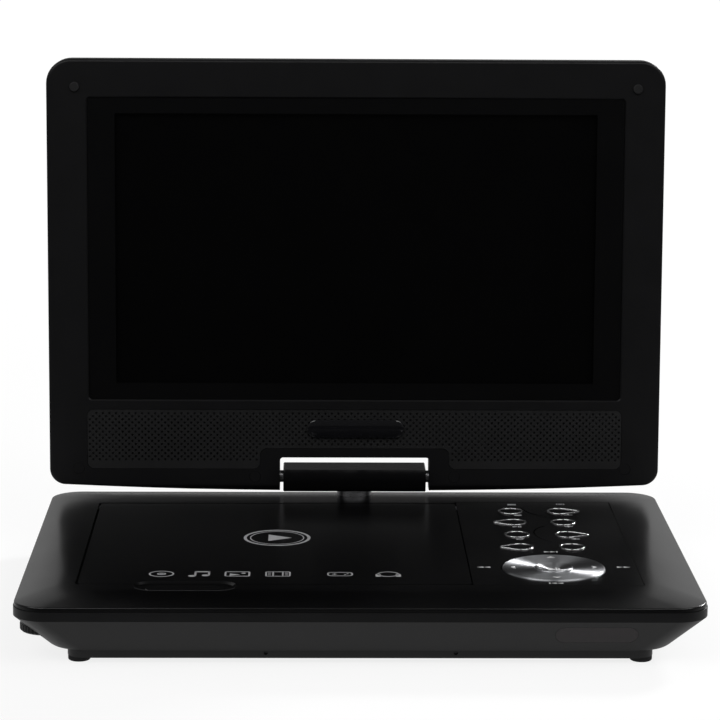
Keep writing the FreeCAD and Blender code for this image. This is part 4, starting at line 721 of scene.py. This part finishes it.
@dataclass(eq=False)
class Symbol:
    """A small plain sign, drawn in a box one high and one wide about its middle."""

    plates: list[np.ndarray] = field(default_factory=list)
    rings: list[tuple[np.ndarray, float]] = field(default_factory=list)

    def bars(self, *boxes: tuple[float, float, float, float]) -> "Symbol":
        """Adds rectangles, each from its two X and two Y values."""
        self.plates += [np.array([(x0, y0), (x1, y0), (x1, y1), (x0, y1)]) for x0, x1, y0, y1 in boxes]
        return self

    def wedge(self, x0: float, x1: float, half: float, y: float = 0.0) -> "Symbol":
        """Adds a triangle from a foot at x0 to a tip at x1."""
        points = [(x0, y - half), (x1, y), (x0, y + half)]
        self.plates.append(np.array(points if x1 > x0 else points[::-1]))
        return self

    def dot(self, x: float, y: float, r: float) -> "Symbol":
        """Adds a round spot."""
        self.plates.append(arc(x, y, r, 0, 360, 17)[:-1])
        return self

    def ring(self, x: float, y: float, r: float, width: float) -> "Symbol":
        """Adds a ring."""
        self.rings.append((arc(x, y, r, 0, 360, 41)[:-1], width))
        return self

    def frame(self, half_x: float, half_y: float, width: float, r: float = 0.08) -> "Symbol":
        """Adds a rounded rectangle drawn as a line."""
        corners = [(-half_x, -half_y), (half_x, -half_y), (half_x, half_y), (-half_x, half_y)]
        self.rings.append((rounded_outline(corners, r, 5), width))
        return self

    def placed(self, x: float, y: float, size: tuple[float, float], low: float, high: float) -> Surface:
        """The sign as thin plates at a place.

        Args:
            x: Its middle.
            y: Its middle.
            size: Its width and height.
            low: The plates' underside.
            high: Their upper side.

        Returns:
            All plates as one surface.
        """
        scale, middle = np.array(size), np.array((x, y))
        made = [sheet_of(p * scale + middle, low, high) for p in self.plates]
        for path, width in self.rings:
            wide = width * min(size) / 2
            section = [(-wide, low), (wide, low), (wide, high), (-wide, high)]
            made.append(ring_along(path * scale + middle, section))
        return gather(made)


class Signs(Enum):
    """The signs on the keys, the dial and the lid."""

    MENU = Symbol().bars((-0.5, 0.5, 0.26, 0.46), (-0.5, 0.5, -0.1, 0.1), (-0.5, 0.5, -0.46, -0.26))
    STOP = Symbol().bars((-0.42, 0.42, -0.42, 0.42))
    PLAY = Symbol().wedge(-0.5, 0.1, 0.5).bars((0.16, 0.3, -0.5, 0.5), (0.38, 0.52, -0.5, 0.5))
    DOWN = Symbol().bars((-0.5, 0.5, -0.5, -0.34), (-0.08, 0.08, -0.2, 0.5))
    PLUS = Symbol().bars((-0.5, 0.5, -0.1, 0.1), (-0.1, 0.1, -0.5, -0.12), (-0.1, 0.1, 0.12, 0.5))
    LOOP = Symbol().ring(0, 0, 0.36, 0.16).wedge(0.2, 0.6, 0.2, 0.36)
    TITLE = Symbol().frame(0.46, 0.36, 0.13).bars((-0.2, 0.2, -0.08, 0.08))
    SPEAK = Symbol().wedge(0.06, -0.5, 0.4).ring(0.3, 0, 0.18, 0.12)
    SKIP_BACK = Symbol().wedge(0.5, 0.02, 0.4).wedge(0.02, -0.4, 0.4).bars((-0.54, -0.42, -0.4, 0.4))
    SKIP_ON = Symbol().wedge(-0.5, -0.02, 0.4).wedge(-0.02, 0.4, 0.4).bars((0.42, 0.54, -0.4, 0.4))
    BACK = Symbol().wedge(0.5, 0.0, 0.42).wedge(0.0, -0.5, 0.42)
    ON = Symbol().wedge(-0.5, 0.0, 0.42).wedge(0.0, 0.5, 0.42)
    DISC = Symbol().ring(0, 0, 0.47, 0.07).ring(0, 0, 0.15, 0.07).ring(0, 0, 0.06, 0.05)
    BIG_DISC = Symbol().ring(0, 0, 0.48, 0.045).ring(0, 0, 0.40, 0.018).wedge(-0.13, 0.22, 0.2)
    NOTE = Symbol().dot(-0.26, -0.34, 0.15).dot(0.28, -0.24, 0.15).bars(
        (-0.17, -0.09, -0.34, 0.42), (0.37, 0.45, -0.24, 0.42), (-0.17, 0.45, 0.3, 0.46)
    )
    PICTURE = Symbol().frame(0.47, 0.38, 0.08).wedge(-0.3, 0.1, 0.2, -0.12).dot(0.24, 0.14, 0.09)
    FILM = Symbol().frame(0.47, 0.38, 0.07).bars(
        (-0.22, -0.16, -0.3, 0.3), (0.16, 0.22, -0.3, 0.3), (-0.4, -0.28, 0.1, 0.2),
        (-0.4, -0.28, -0.2, -0.1), (0.28, 0.4, 0.1, 0.2), (0.28, 0.4, -0.2, -0.1),
    )
    PHONES = Symbol().ring(0, 0, 0.4, 0.07).bars((-0.5, -0.3, -0.42, 0.0), (0.3, 0.5, -0.42, 0.0))
    PAD = Symbol().frame(0.48, 0.3, 0.07, 0.2).bars(
        (-0.32, -0.12, -0.03, 0.03), (-0.25, -0.19, 0.05, 0.12), (-0.25, -0.19, -0.12, -0.05)
    ).dot(0.2, -0.06, 0.05).dot(0.3, 0.06, 0.05)


# The screen


@dataclass
class ScreenFace:
    """The dressed pieces of the screen, in its own frame: X across, Y back, Z up from the axle."""

    lean_deg: float = 1.5
    axle_y: float = 83.0
    axle_z: float = 32.2
    front: float = -6.2
    grille_half: float = 110.38
    grille_low: float = 4.22
    grille_high: float = 29.08
    step_half: float = 39.12
    step_z: float = 12.82
    grille_corner: float = 2.78
    grille_back: float = 0.35
    grille_thick: float = 0.8
    hole_r: float = 0.47
    pitch: float = 2.7
    row_step: float = 1.29
    hole_sides: int = 10
    rim: float = 0.45
    columns: int = 41
    shade_plate_inset: float = 0.3
    shade_plate_thick: float = 0.06
    shade_plate_gap: float = 0.01
    badge_x: float = 0.4
    badge_z: float = 21.05
    badge_length: float = 40.0
    badge_height: float = 7.6
    badge_proud: float = 0.35
    badge_crown: float = 0.65
    badge_foot: float = 0.3
    badge_steps: int = 25
    badge_rows: int = 14

    def to_place(self, points: np.ndarray) -> np.ndarray:
        """Leans points of the screen's frame back about the axle and lifts them to it."""
        c, s = math.cos(math.radians(self.lean_deg)), math.sin(math.radians(self.lean_deg))
        x, y, z = points.T
        return np.column_stack([x, y * c + z * s + self.axle_y, z * c - y * s + self.axle_z])

    def outline(self, inset: float) -> np.ndarray:
        """The grille's stepped outline, set in evenly."""
        a, b = self.grille_half - inset, self.step_half + inset
        low, step, high = self.grille_low + inset, self.step_z + inset, self.grille_high - inset
        points = [(-a, low), (-b, low), (-b, step), (b, step), (b, low), (a, low), (a, high), (-a, high)]
        return rounded_outline(points, self.grille_corner)

    def hole_centres(self) -> np.ndarray:
        """The centres of the holes: rows a step apart, every other row moved by half a pitch.

        Returns:
            The centres clear of the outline and above the rounding of its lower corners.
        """
        rows = np.arange(self.grille_low + self.row_step, self.grille_high, self.row_step)
        x, z = np.meshgrid(np.arange(-self.columns, self.columns + 1) * self.pitch, rows)
        x = x + (np.arange(len(rows)) % 2 * self.pitch / 2)[:, None]
        x, z = x.ravel(), z.ravel()
        wide, clear, r = np.abs(x), self.hole_r + self.rim, self.grille_corner
        inside = (wide < self.grille_half - clear) & (z >= self.grille_low + r)
        inside &= z < self.grille_high - clear
        inside &= (wide > self.step_half + clear) | (z > self.step_z + clear)
        out, up = wide - (self.grille_half - r), z - (self.grille_high - r)
        inside &= ~((out > 0) & (up > 0) & (np.hypot(out, up) > r - clear))
        return np.column_stack([x[inside], z[inside]])

    def grille(self) -> Surface:
        """A perforated sheet: triangles join the outline and the holes' edges in front and behind.

        Returns:
            The closed sheet, with a wall round the outline and one inside each hole.
        """
        edge, centres = self.outline(0.0), self.hole_centres()
        turn = np.linspace(0, TURN, self.hole_sides, endpoint=False)
        circle = np.column_stack([np.cos(turn), np.sin(turn)]) * self.hole_r
        holes = (centres[:, None, :] + circle[None, :, :]).reshape(-1, 2)
        flat = np.vstack([edge, holes])
        n, m = len(edge), self.hole_sides
        loops = [list(range(n))] + [list(range(n + k * m, n + (k + 1) * m)) for k in range(len(centres))]
        verts, _, tris, origin, _, owner = delaunay_2d_cdt([Vector(p) for p in flat], [], loops, 1, 1e-6)
        tris = [list(t) for t, own in zip(tris, owner) if own == [0]]
        where = {source: k for k, sources in enumerate(origin) for source in sources}
        points = np.array([tuple(v) for v in verts])
        count, y0 = len(points), self.front + self.grille_back
        x, z = points.T
        layers = [np.column_stack([x, np.full(count, y), z]) for y in (y0, y0 + self.grille_thick)]
        faces = tris + [[i + count for i in reversed(t)] for t in tris]
        for loop in loops:
            ring = [where[i] for i in loop]
            faces += [[i, ring[k - 1], ring[k - 1] + count, i + count] for k, i in enumerate(ring)]
        return Surface(self.to_place(np.vstack(layers)), faces)

    def backing(self) -> Surface:
        """A dark plate close behind the grille's holes: painted shade for the dark space behind them."""
        plate = sheet_of(self.outline(self.shade_plate_inset), 0.0, self.shade_plate_thick)
        x, z, y = plate.points.T
        y = y + self.front + self.grille_back + self.grille_thick + self.shade_plate_gap
        return Surface(self.to_place(np.column_stack([x, y, z])), plate.faces)

    def badge(self) -> Surface:
        """A bare capsule that swells: height = edge + crown * sqrt(1 - (1 - s)^2), s from rim to middle.

        Returns:
            The capsule, closed behind.
        """
        r, half, n = self.badge_height / 2, (self.badge_length - self.badge_height) / 2, self.badge_steps
        ends = [arc(half, 0, 1.0, -90, 90, n) - (half, 0), arc(-half, 0, 1.0, 90, 270, n) + (half, 0)]
        normal = np.vstack(ends)
        spine = np.vstack([np.full((n, 2), (half, 0.0)), np.full((n, 2), (-half, 0.0))])
        lean = np.linspace(0.12, math.pi / 2 - 0.02, self.badge_rows)
        share = np.concatenate([[0.0, 0.0], 1 - np.cos(lean)])
        rise = np.sqrt(1 - (1 - share) ** 2) * self.badge_crown
        out = -self.badge_proud - rise
        out[0] = self.grille_back
        out[1] = -self.badge_proud * self.badge_foot
        flat = spine[None] + normal[None] * (r * (1 - share))[:, None, None]
        rows, columns = len(share), len(spine)
        y = np.broadcast_to(out[:, None], (rows, columns)) + self.front
        x, z = flat[..., 0] + self.badge_x, flat[..., 1] + self.badge_z
        points = np.stack([x, y, z], axis=-1).reshape(-1, 3)
        return Surface(self.to_place(points), grid_faces(rows, columns, False))

    def build(self) -> None:
        """Makes the grille, the dark plate of painted shade behind it, and the badge."""
        make_piece("speaker_grille_sheet", self.grille(), "screen", Look.GRILLE, ("speaker_grille",))
        make_piece("speaker_grille_shade_plate", self.backing(), "screen", Look.HOLE_SHADE_PLATE)
        make_piece("badge_capsule", self.badge(), "screen", Look.BADGE, ("badge_plate",), crease=50.0)
        log.info("screen: grille with %d holes, shade plate and badge", len(self.hole_centres()))


# The control panel


@dataclass
class ControlPanel:
    """The rings and signs of the control panel, and the painted shade of its seams and engraved lines."""

    column_x: tuple[float, float] = (63.0, 82.9)
    row_y: tuple[float, ...] = (50.3, 31.0, 10.3, -9.9)
    ring_r: float = 5.0
    ring_width: float = 0.75
    ring_top: float = TOP_Z + 0.42
    ring_low: float = TOP_Z - 1.0
    tip_reach: float = 8.2
    tip_r: float = 0.8
    cap_play: float = 0.2
    cap_top: float = TOP_Z + 0.2
    cap_low: float = TOP_Z - 3.75
    cap_crown: float = 0.22
    cap_flat: float = 0.95
    ring_crown: float = 0.3
    key_signs: tuple[tuple[float, float, Signs], ...] = (
        (64.3, 62.2, Signs.MENU), (65.6, 43.2, Signs.STOP), (63.8, 23.5, Signs.PLAY), (63.5, 2.8, Signs.LOOP),
        (84.3, 63.0, Signs.TITLE), (86.0, 44.8, Signs.DOWN), (84.4, 23.9, Signs.PLUS),
        (85.3, 3.2, Signs.SPEAK),
    )
    dial_signs: tuple[tuple[float, float, Signs], ...] = (
        (46.8, -41.5, Signs.BACK), (99.6, -41.2, Signs.ON),
        (73.9, -17.6, Signs.SKIP_ON), (72.3, -65.2, Signs.SKIP_BACK),
    )
    sign_size: tuple[float, float] = (3.4, 2.2)
    dial_sign_stretch: float = 1.5
    line_half: float = 0.36
    line_points: int = 61
    line_smoothings: int = 40
    line_taper: float = 0.4
    # Paths of the engraved grooves, drawn as strips of painted shade.
    engraved: tuple[tuple[Point, ...], ...] = (
        ((67.6, 56.6), (68.8, 51.5), (71.2, 45.6), (75.1, 42.6), (78.7, 39.2)),
        ((75.2, 25.0), (72.4, 22.3), (70.4, 18.4), (69.7, 13.4), (70.2, 8.2), (72.1, 3.0), (76.2, -2.6)),
    )
    # Corners of the seams' strips of painted shadow.
    seam_shadow_lines: tuple[tuple[Point, Point], ...] = (
        ((104.3, -68.1), (104.75, 66.2)), ((41.6, 66.0), (104.3, 66.3)), ((41.6, -68.25), (104.3, -67.95)),
        ((-104.8, -66.6), (-104.35, 63.6)),
    )

    def keys(self) -> list[Key]:
        """Each key's place and the side that its tip points to: -1 left, 1 right, 0 round."""
        return [
            (x, y, 2 * column - 1 if (row + column) % 2 else 0)
            for column, x in enumerate(self.column_x)
            for row, y in enumerate(self.row_y)
        ]

    def key_path(self, key: Key, r: float, tip_r: float) -> np.ndarray:
        """The outline of a key: a circle, or a circle drawn out by two tangents to a small tip.

        Args:
            key: The key's place and its tip's side.
            r: The circle's radius.
            tip_r: The tip's radius.

        Returns:
            The outline's points, counter-clockwise.
        """
        x, y, side = key
        if not side:
            return arc(x, y, r, 0, 360, 73)[:-1]
        reach = self.tip_reach - self.ring_width - self.tip_r
        lean = math.degrees(math.acos((r - tip_r) / reach))
        tip = arc(reach, 0, tip_r, -lean, lean, 13)
        body = arc(0, 0, r, lean, 360 - lean, 57)
        path = np.vstack([tip, body])
        if side < 0:
            path = path[::-1] * (-1, 1)
        return path + (x, y)

    def rings(self) -> Surface:
        """The eight bright rings: each a bar with a half-round top along the key's outline."""
        half = self.ring_width / 2
        foot, high = self.ring_top - self.ring_crown, self.ring_crown
        crown = [(half * math.cos(a), foot + high * math.sin(a)) for a in np.linspace(0, math.pi, 9)]
        section = [(-half, self.ring_low), (half, self.ring_low), *crown]
        paths = [self.key_path(key, self.ring_r - half, self.tip_r + half) for key in self.keys()]
        return gather([ring_along(path, section) for path in paths])

    def signs(self) -> Surface:
        """The small printed signs behind the keys and round the dial."""
        wide = (self.sign_size[0] * self.dial_sign_stretch, self.sign_size[1])
        made = [sign.value.placed(x, y, self.sign_size, *PRINT_LAYER) for x, y, sign in self.key_signs]
        made += [sign.value.placed(x, y, wide, *PRINT_LAYER) for x, y, sign in self.dial_signs]
        return gather(made)

    def lines(self) -> Surface:
        """Painted shade: dark strips for the shadow in the seams of panel and lid, and for the shade in the engraved
        lines, which are thin at their ends.
        """
        corners = [np.array([a, (b[0], a[1]), b, (a[0], b[1])]) for a, b in self.seam_shadow_lines]
        made = [sheet_of(outline, *LINE_LAYER) for outline in corners]
        for points in self.engraved:
            knots = np.linspace(0, 1, len(points))
            t = np.linspace(0, 1, self.line_points)
            path = np.column_stack([np.interp(t, knots, axis) for axis in np.array(points).T])
            for _ in range(self.line_smoothings):
                path[1:-1] = path[1:-1] * 0.5 + (path[:-2] + path[2:]) * 0.25
            taper = np.sin(math.pi * (t * 0.94 + 0.03)) ** self.line_taper
            made.append(ribbon(path, self.line_half * taper))
        return gather(made)

    def cap(self, key: Key) -> Surface:
        """A key's cap with a rolled edge and a low crown: rings of its outline shrink towards the middle."""
        r, top, flat = self.ring_r - self.ring_width - self.cap_play, self.cap_top, self.cap_flat
        outline = self.key_path(key, r, self.tip_r - 0.05)
        middle, n = outline.mean(axis=0), len(outline)
        shrink = [(1.0, self.cap_low), (1.0, top - 0.35), (0.985, top - 0.12), (flat, top)]
        shrink += [(k, top + self.cap_crown * (1 - (k / flat) ** 2)) for k in (0.8, 0.6, 0.4, 0.2, 0.05)]
        layers = [np.column_stack([middle + (outline - middle) * k, np.full(n, z)]) for k, z in shrink]
        return Surface(np.vstack(layers), grid_faces(len(shrink), n, False))

    def build(self) -> None:
        """Makes the rings, key caps, signs, and the lines of painted shade."""
        make_piece("key_ring_set", self.rings(), "base", Look.RINGS, ("key_rings",), crease=60.0)
        make_piece("panel_signs", self.signs(), "base", Look.PRINT)
        make_piece("panel_shade_lines", self.lines(), "base", Look.GAP_SHADE_PAINT)
        for k, key in enumerate(self.keys(), 1):
            cap = self.cap(key)
            make_piece(f"key_cap_{k}", cap, f"key_body_{k}", Look.KEYS, (f"key_{k}",), crease=40.0)
        log.info("control panel: %d rings", len(self.keys()))


@dataclass
class Dial:
    """The spun direction dial with its four marks, and the button in its middle."""

    centre: Point = (73.1, -43.0)
    r: float = 19.4
    inner_r: float = 7.55
    proud: float = 0.6
    thick: float = 1.8
    face_r: float = 17.6
    dish: float = 0.5
    dish_power: float = 1.6
    roll_r: float = 0.9
    skirt_r: float = 8.8
    foot_z: float = 21.2
    ok_r: float = 7.3
    ok_proud: float = 0.65
    ok_dish: float = 1.1
    ok_roll: float = 0.5
    ok_flange: float = 1.1
    ok_low: float = 20.05
    ok_flange_top: float = 20.8
    mark_r: float = 15.3
    steps: int = 192

    def disc(self) -> Surface:
        """The dial: a shallow dish with a rolled rim, turned from its profile."""
        top = TOP_Z + self.proud
        low, inner, wide, k = top - self.thick, self.inner_r, self.face_r - self.inner_r, self.roll_r
        radii, turn = np.linspace(inner, self.face_r, 12), np.linspace(0, math.pi / 2, 9)
        face = [(r, top - self.dish + self.dish * ((r - inner) / wide) ** self.dish_power) for r in radii]
        roll = [(self.r - k + k * math.sin(a), top - k + k * math.cos(a)) for a in turn]
        under = [(self.r, low), (self.skirt_r, low), (self.skirt_r, self.foot_z), (inner, self.foot_z)]
        return revolve((face + roll + under)[::-1], self.centre, self.steps)

    def button(self) -> Surface:
        """The middle button, on a collar, with a hollow face: z = top - dish (1 - (r / rim)^2)."""
        top, k = TOP_Z + self.ok_proud, self.ok_roll
        rim, turn = self.ok_r - k, np.linspace(math.pi / 2, 0.2, 6)
        face = [(r, top - self.ok_dish * (1 - (r / rim) ** 2)) for r in np.linspace(rim, 0.1, 12)]
        edge = [(rim + k * math.sin(a), top - k + k * math.cos(a)) for a in turn]
        collar = self.ok_r + self.ok_flange
        side = [(collar, self.ok_low), (collar, self.ok_flange_top), (self.ok_r, self.ok_flange_top)]
        return revolve([(0.5, self.ok_low), *side, *edge, *face], self.centre, self.steps // 2, closed=False)

    def marks(self) -> Surface:
        """Four small arrow marks on the dial, each turned to point outward."""
        top, made = TOP_Z + self.proud - 0.12, []
        for k in range(4):
            c, s = math.cos(k * math.pi / 2), math.sin(k * math.pi / 2)
            points = np.array([(-0.9, -1.5), (0.9, 0), (-0.9, 1.5), (-0.2, 0)]) + (self.mark_r, 0)
            outline = points @ np.array([(c, s), (-s, c)]) + self.centre
            made.append(sheet_of(outline, top - 0.4, top + 0.06))
        return gather(made)

    def build(self) -> None:
        """Makes the dial, its button and the marks."""
        make_piece("dial_face", self.disc(), "dial", Look.DIAL, ("nav_disc",), crease=50.0)
        make_piece("ok_dish", self.button(), "ok_key", Look.OK, ("ok_button",), crease=50.0)
        make_piece("dial_marks", self.marks(), "dial", Look.WHITE_PRINT)
        low = TOP_Z + self.ok_proud - self.ok_dish
        bars = Signs.PLAY.value.placed(*self.centre, (4.6, 4.2), low - 0.2, low + 0.16)
        make_piece("ok_mark", bars, "ok_key", Look.WHITE_PRINT)
        log.info("dial: disc, button and marks")


@dataclass
class LidPrint:
    """The plain signs printed on the disc lid."""

    big_centre: Point = (-31.3, 4.4)
    big_size: float = 26.0
    row_y: float = -52.3
    row_x: tuple[float, ...] = (-73.7, -59.9, -45.5, -30.4, -7.3, 10.6)
    mark_size: tuple[float, float] = (9.4, 8.6)

    def build(self) -> None:
        """Prints the large sign and the row of small ones."""
        row = (Signs.DISC, Signs.NOTE, Signs.PICTURE, Signs.FILM, Signs.PAD, Signs.PHONES)
        made = [
            sign.value.placed(x, self.row_y, self.mark_size, *PRINT_LAYER) for x, sign in zip(self.row_x, row)
        ]
        size = (self.big_size, self.big_size)
        made.append(Signs.BIG_DISC.value.placed(*self.big_centre, size, *PRINT_LAYER))
        make_piece("lid_signs", gather(made), "lid", Look.PRINT)
        log.info("lid: %d printed signs", len(made))


@dataclass
class Release:
    """Painted highlight: a lighter strip along the front edge of the finger recess round the open button."""

    centre: Point = (-64.3, -69.4)
    reach: float = 12.0
    r: float = 7.0
    half_width: float = 0.2

    def build(self) -> None:
        """Lays a thin tapered ribbon along the recess's front edge; its lighter colour is a painted highlight."""
        x, y = self.centre
        ends = ((x - self.reach, 205, 270), (x + self.reach, 270, 335))
        path = np.vstack([arc(cx, y, self.r, start, end, 17) for cx, start, end in ends])
        half = self.half_width * np.sin(math.pi * np.linspace(0.04, 0.96, len(path))) ** 0.5
        make_piece("recess_edge_painted_highlight", ribbon(path, half), "base", Look.EDGE_HIGHLIGHT_PAINT)
        log.info("release: recess edge")


# The studio


@dataclass
class Studio:
    """The floor, the lamps, the white surroundings and the camera of the photograph.

    Each band says where a value goes over into the next: a place in metres, or a part of a direction.
    """

    focal_px: float = 2990.5
    picture_px: float = 720.0
    sensor_mm: float = 36.0
    pitch_deg: float = 10.335
    yaw_deg: float = 1.036
    roll_deg: float = 0.344
    camera_mm: Triple = (-19.9, -1133.2, 303.2)
    floor_half: float = 30.0
    floor_colour: float = 0.9
    near_gloss: float = 0.44
    front_gloss: float = 0.08
    over_gloss: float = 0.06
    side_gloss: float = 0.14
    flank_gloss: float = 0.5
    back_gloss: float = 0.8
    diffuse_light: float = 0.3
    floor_glow: float = 1.04
    near_paper: float = 0.8
    far_gloss: float = 0.25
    low_gloss: float = 0.03
    front_band: Point = (-0.16, -0.1)
    gloss_band: Point = (0.17, 0.32)
    paper_band: Point = (0.5, 1.6)
    side_band: Point = (0.35, 0.8)
    back_band: Point = (0.3, 0.8)
    low_band: Point = (0.0, 0.1)
    flank_band: Point = (0.06, 0.17)
    aim: Triple = (0, 0.02, 0.08)
    lamps: tuple[tuple[str, Triple, Point, float], ...] = (
        ("left_box", (-0.85, -0.9, 1.3), (1.6, 0.6), 9.0),
        ("right_box", (0.85, -0.9, 1.3), (1.6, 0.6), 9.0),
        ("back_lamp", (1.05, 1.25, 0.95), (0.3, 0.3), 22.0),
    )

    def camera(self) -> None:
        """Sets the camera: its axes are worked out from pitch, yaw and roll."""
        pitch, yaw, roll = (math.radians(a) for a in (self.pitch_deg, self.yaw_deg, self.roll_deg))
        ahead = np.array([math.sin(yaw) * math.cos(pitch), math.cos(yaw) * math.cos(pitch), -math.sin(pitch)])
        right = np.array([math.cos(yaw), -math.sin(yaw), 0.0])
        up = np.cross(right, ahead)
        across = math.cos(roll) * right + math.sin(roll) * up
        high = -math.sin(roll) * right + math.cos(roll) * up
        data = bpy.data.cameras.new("photo_camera")
        data.sensor_width = self.sensor_mm
        data.lens = self.focal_px / self.picture_px * self.sensor_mm
        data.clip_start, data.clip_end = 0.01, 200.0
        camera = stand("photo_camera", data)
        turn = Matrix([[*row] for row in np.column_stack([across, high, -ahead])]).to_4x4()
        camera.matrix_world = Matrix.Translation(Vector(self.camera_mm) * MM) @ turn
        bpy.context.scene.camera = camera

    def floor(self) -> None:
        """A wide pale floor that keeps the shadow and glows for the camera and in reflections."""
        h = self.floor_half
        mesh = bpy.data.meshes.new("studio_floor")
        mesh.from_pydata([(-h, -h, 0), (h, -h, 0), (h, h, 0), (-h, h, 0)], [], [(0, 1, 2, 3)])
        floor = stand("studio_floor", mesh)
        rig.stage(floor)
        material = bpy.data.materials.new("floor_paper")
        material.use_nodes = True
        sheet = NodeSheet(material.node_tree)
        c = self.floor_colour
        sheet.set(Base_Color=(c, c, c, 1), Roughness=0.9, Specular_IOR_Level=0.1)
        apart = sheet.add("ShaderNodeSeparateXYZ", {0: sheet.place})
        ahead = sheet.spread(apart.outputs["Y"], self.front_gloss, self.near_gloss, *self.front_band)
        away = sheet.maths("LENGTH", sheet.place, vector=True)
        gloss = sheet.maths("MULTIPLY", ahead, sheet.spread(away, 1.0, self.far_gloss, *self.gloss_band))
        level = self.level(sheet, self.floor_glow, gloss, 0.0)
        glow = sheet.add("ShaderNodeEmission", {"Color": (1, 1, 1, 1), "Strength": level}).outputs[0]
        seen = self.level(sheet, sheet.spread(away, self.near_paper, 1.0, *self.paper_band), 1.0, 0.0)
        mixed = sheet.add("ShaderNodeMixShader", {0: seen, 1: sheet.shader.outputs[0], 2: glow})
        sheet.fill(material.node_tree.nodes["Material Output"].inputs[0], mixed.outputs[0])
        mesh.materials.append(material)

    def level(self, sheet: NodeSheet, camera: object, gloss: object, rest: float) -> Socket:
        """One value for the camera's rays, one for rays off gloss or through glass, and one for the rest.

        Args:
            sheet: The nodes to add to.
            camera: The value that the camera sees.
            gloss: The value that shows in reflections, or its socket.
            rest: The value for diffuse and shadow rays.

        Returns:
            The value for the ray at hand.
        """
        rays = sheet.tree.nodes.new("ShaderNodeLightPath").outputs
        shiny = sheet.maths("MAXIMUM", rays["Is Glossy Ray"], rays["Is Transmission Ray"])
        value = rest
        for share, own in ((shiny, gloss), (rays["Is Camera Ray"], camera)):
            value = sheet.add("ShaderNodeMix", {0: share, 2: value, 3: own}, data_type="FLOAT").outputs[0]
        return value

    def surroundings(self) -> None:
        """White surroundings, which reflections see light behind, dimmer at the sides and dark in front."""
        world = bpy.data.worlds.new("studio_world")
        world.use_nodes = True
        bpy.context.scene.world = world
        sheet = NodeSheet(world.node_tree, "Background")
        ray = sheet.tree.nodes["Texture Coordinate"].outputs["Generated"]
        towards = sheet.add("ShaderNodeSeparateXYZ", {0: ray}).outputs
        aside = sheet.maths("ABSOLUTE", towards["X"])
        sides = sheet.spread(aside, self.over_gloss, self.side_gloss, *self.side_band)
        behind = sheet.spread(towards["Y"], 0.0, self.back_gloss, *self.back_band)
        low = sheet.spread(towards["Z"], 1.0, self.low_gloss, *self.low_band)
        flank = sheet.spread(aside, 0.0, self.flank_gloss, *self.flank_band)
        back = sheet.maths("MULTIPLY", behind, sheet.maths("MAXIMUM", low, flank))
        gloss = sheet.maths("ADD", sides, back)
        sheet.set(Strength=self.level(sheet, 1.0, gloss, self.diffuse_light), Color=(1, 1, 1, 1))

    def lamp(self, name: str, place: Triple, size: Point, power: float) -> None:
        """A soft panel lamp that faces the middle of the player.

        Args:
            name: The lamp's name.
            place: Its place in metres.
            size: Its width and height in metres.
            power: Its power in watts.
        """
        data = bpy.data.lights.new(name, "AREA")
        data.shape, data.size, data.size_y, data.energy = "RECTANGLE", *size, power
        lamp = stand(name, data)
        lamp.location = place
        ahead = Vector(self.aim) - Vector(place)
        lamp.rotation_euler = ahead.to_track_quat("-Z", "Y").to_euler()

    def build(self) -> None:
        """Sets up the whole studio."""
        self.camera()
        self.floor()
        self.surroundings()
        for lamp in self.lamps:
            self.lamp(*lamp)
        bpy.context.scene.view_settings.view_transform = "Standard"
        log.info("studio: camera, floor and %d lamps", len(self.lamps))


def by_node(groups: dict[Look, str]) -> dict[str, Look]:
    """Turns node names grouped by finish into each node's finish."""
    return {name: finish for finish, names in groups.items() for name in names.split()}


SMOOTHED = by_node({
    Look.SATIN: "base_top_shell disc_lid",
    Look.HOUSING: "base_lower_housing volume_wheel power_knob",
    Look.PANEL: "control_panel_plate",
    Look.KEYS: "open_button",
    Look.BEZEL: "screen_front_bezel screen_back_cover bezel_plugs",
    Look.HINGE: "hinge_block_lower hinge_block_upper",
    Look.SURROUND: "display_surround",
    Look.WINDOW: "ir_window",
    Look.RUBBER: "bezel_bumpers rubber_feet",
    Look.DECK: "disc_deck",
    Look.INNER: "spindle_rotor",
    Look.STEEL: "swivel_post",
})

PLAIN = by_node({
    Look.DISPLAY: "display_panel",
    Look.RUBBER: "mech_dampers",
    Look.SCREWS: "base_screws screen_screws",
    Look.INNER: "audio_jacks dc_inlet pickup_sled speakers",
    Look.STEEL: """
        usb_socket card_slot inner_screws spindle_motor mech_chassis guide_rods sled_motor lead_screw
        lid_hinge_pins catch_spring swivel_bearing tilt_axles tilt_brackets
    """,
    Look.BOARD: "key_board main_board jack_board driver_board",
    Look.CELLS: "battery_pack",
    Look.WHITE: "backlight_frame nav_pivot_ring",
})


def main() -> None:
    """Dresses the player and sets up the studio."""
    logging.basicConfig(level=logging.INFO)
    cad_box = [[float(v) for v in corner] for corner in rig.bounds()]
    Studio().build()
    ScreenFace().build()
    ControlPanel().build()
    Dial().build()
    LidPrint().build()
    Release().build()
    CarriedNodes(SMOOTHED, PLAIN).dress()
    look_box = [[float(v) for v in corner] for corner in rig.bounds()]
    with open("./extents.json", "w") as out:
        json.dump({"cad": cad_box, "visual": look_box}, out)


if __name__ == "__main__":
    main()
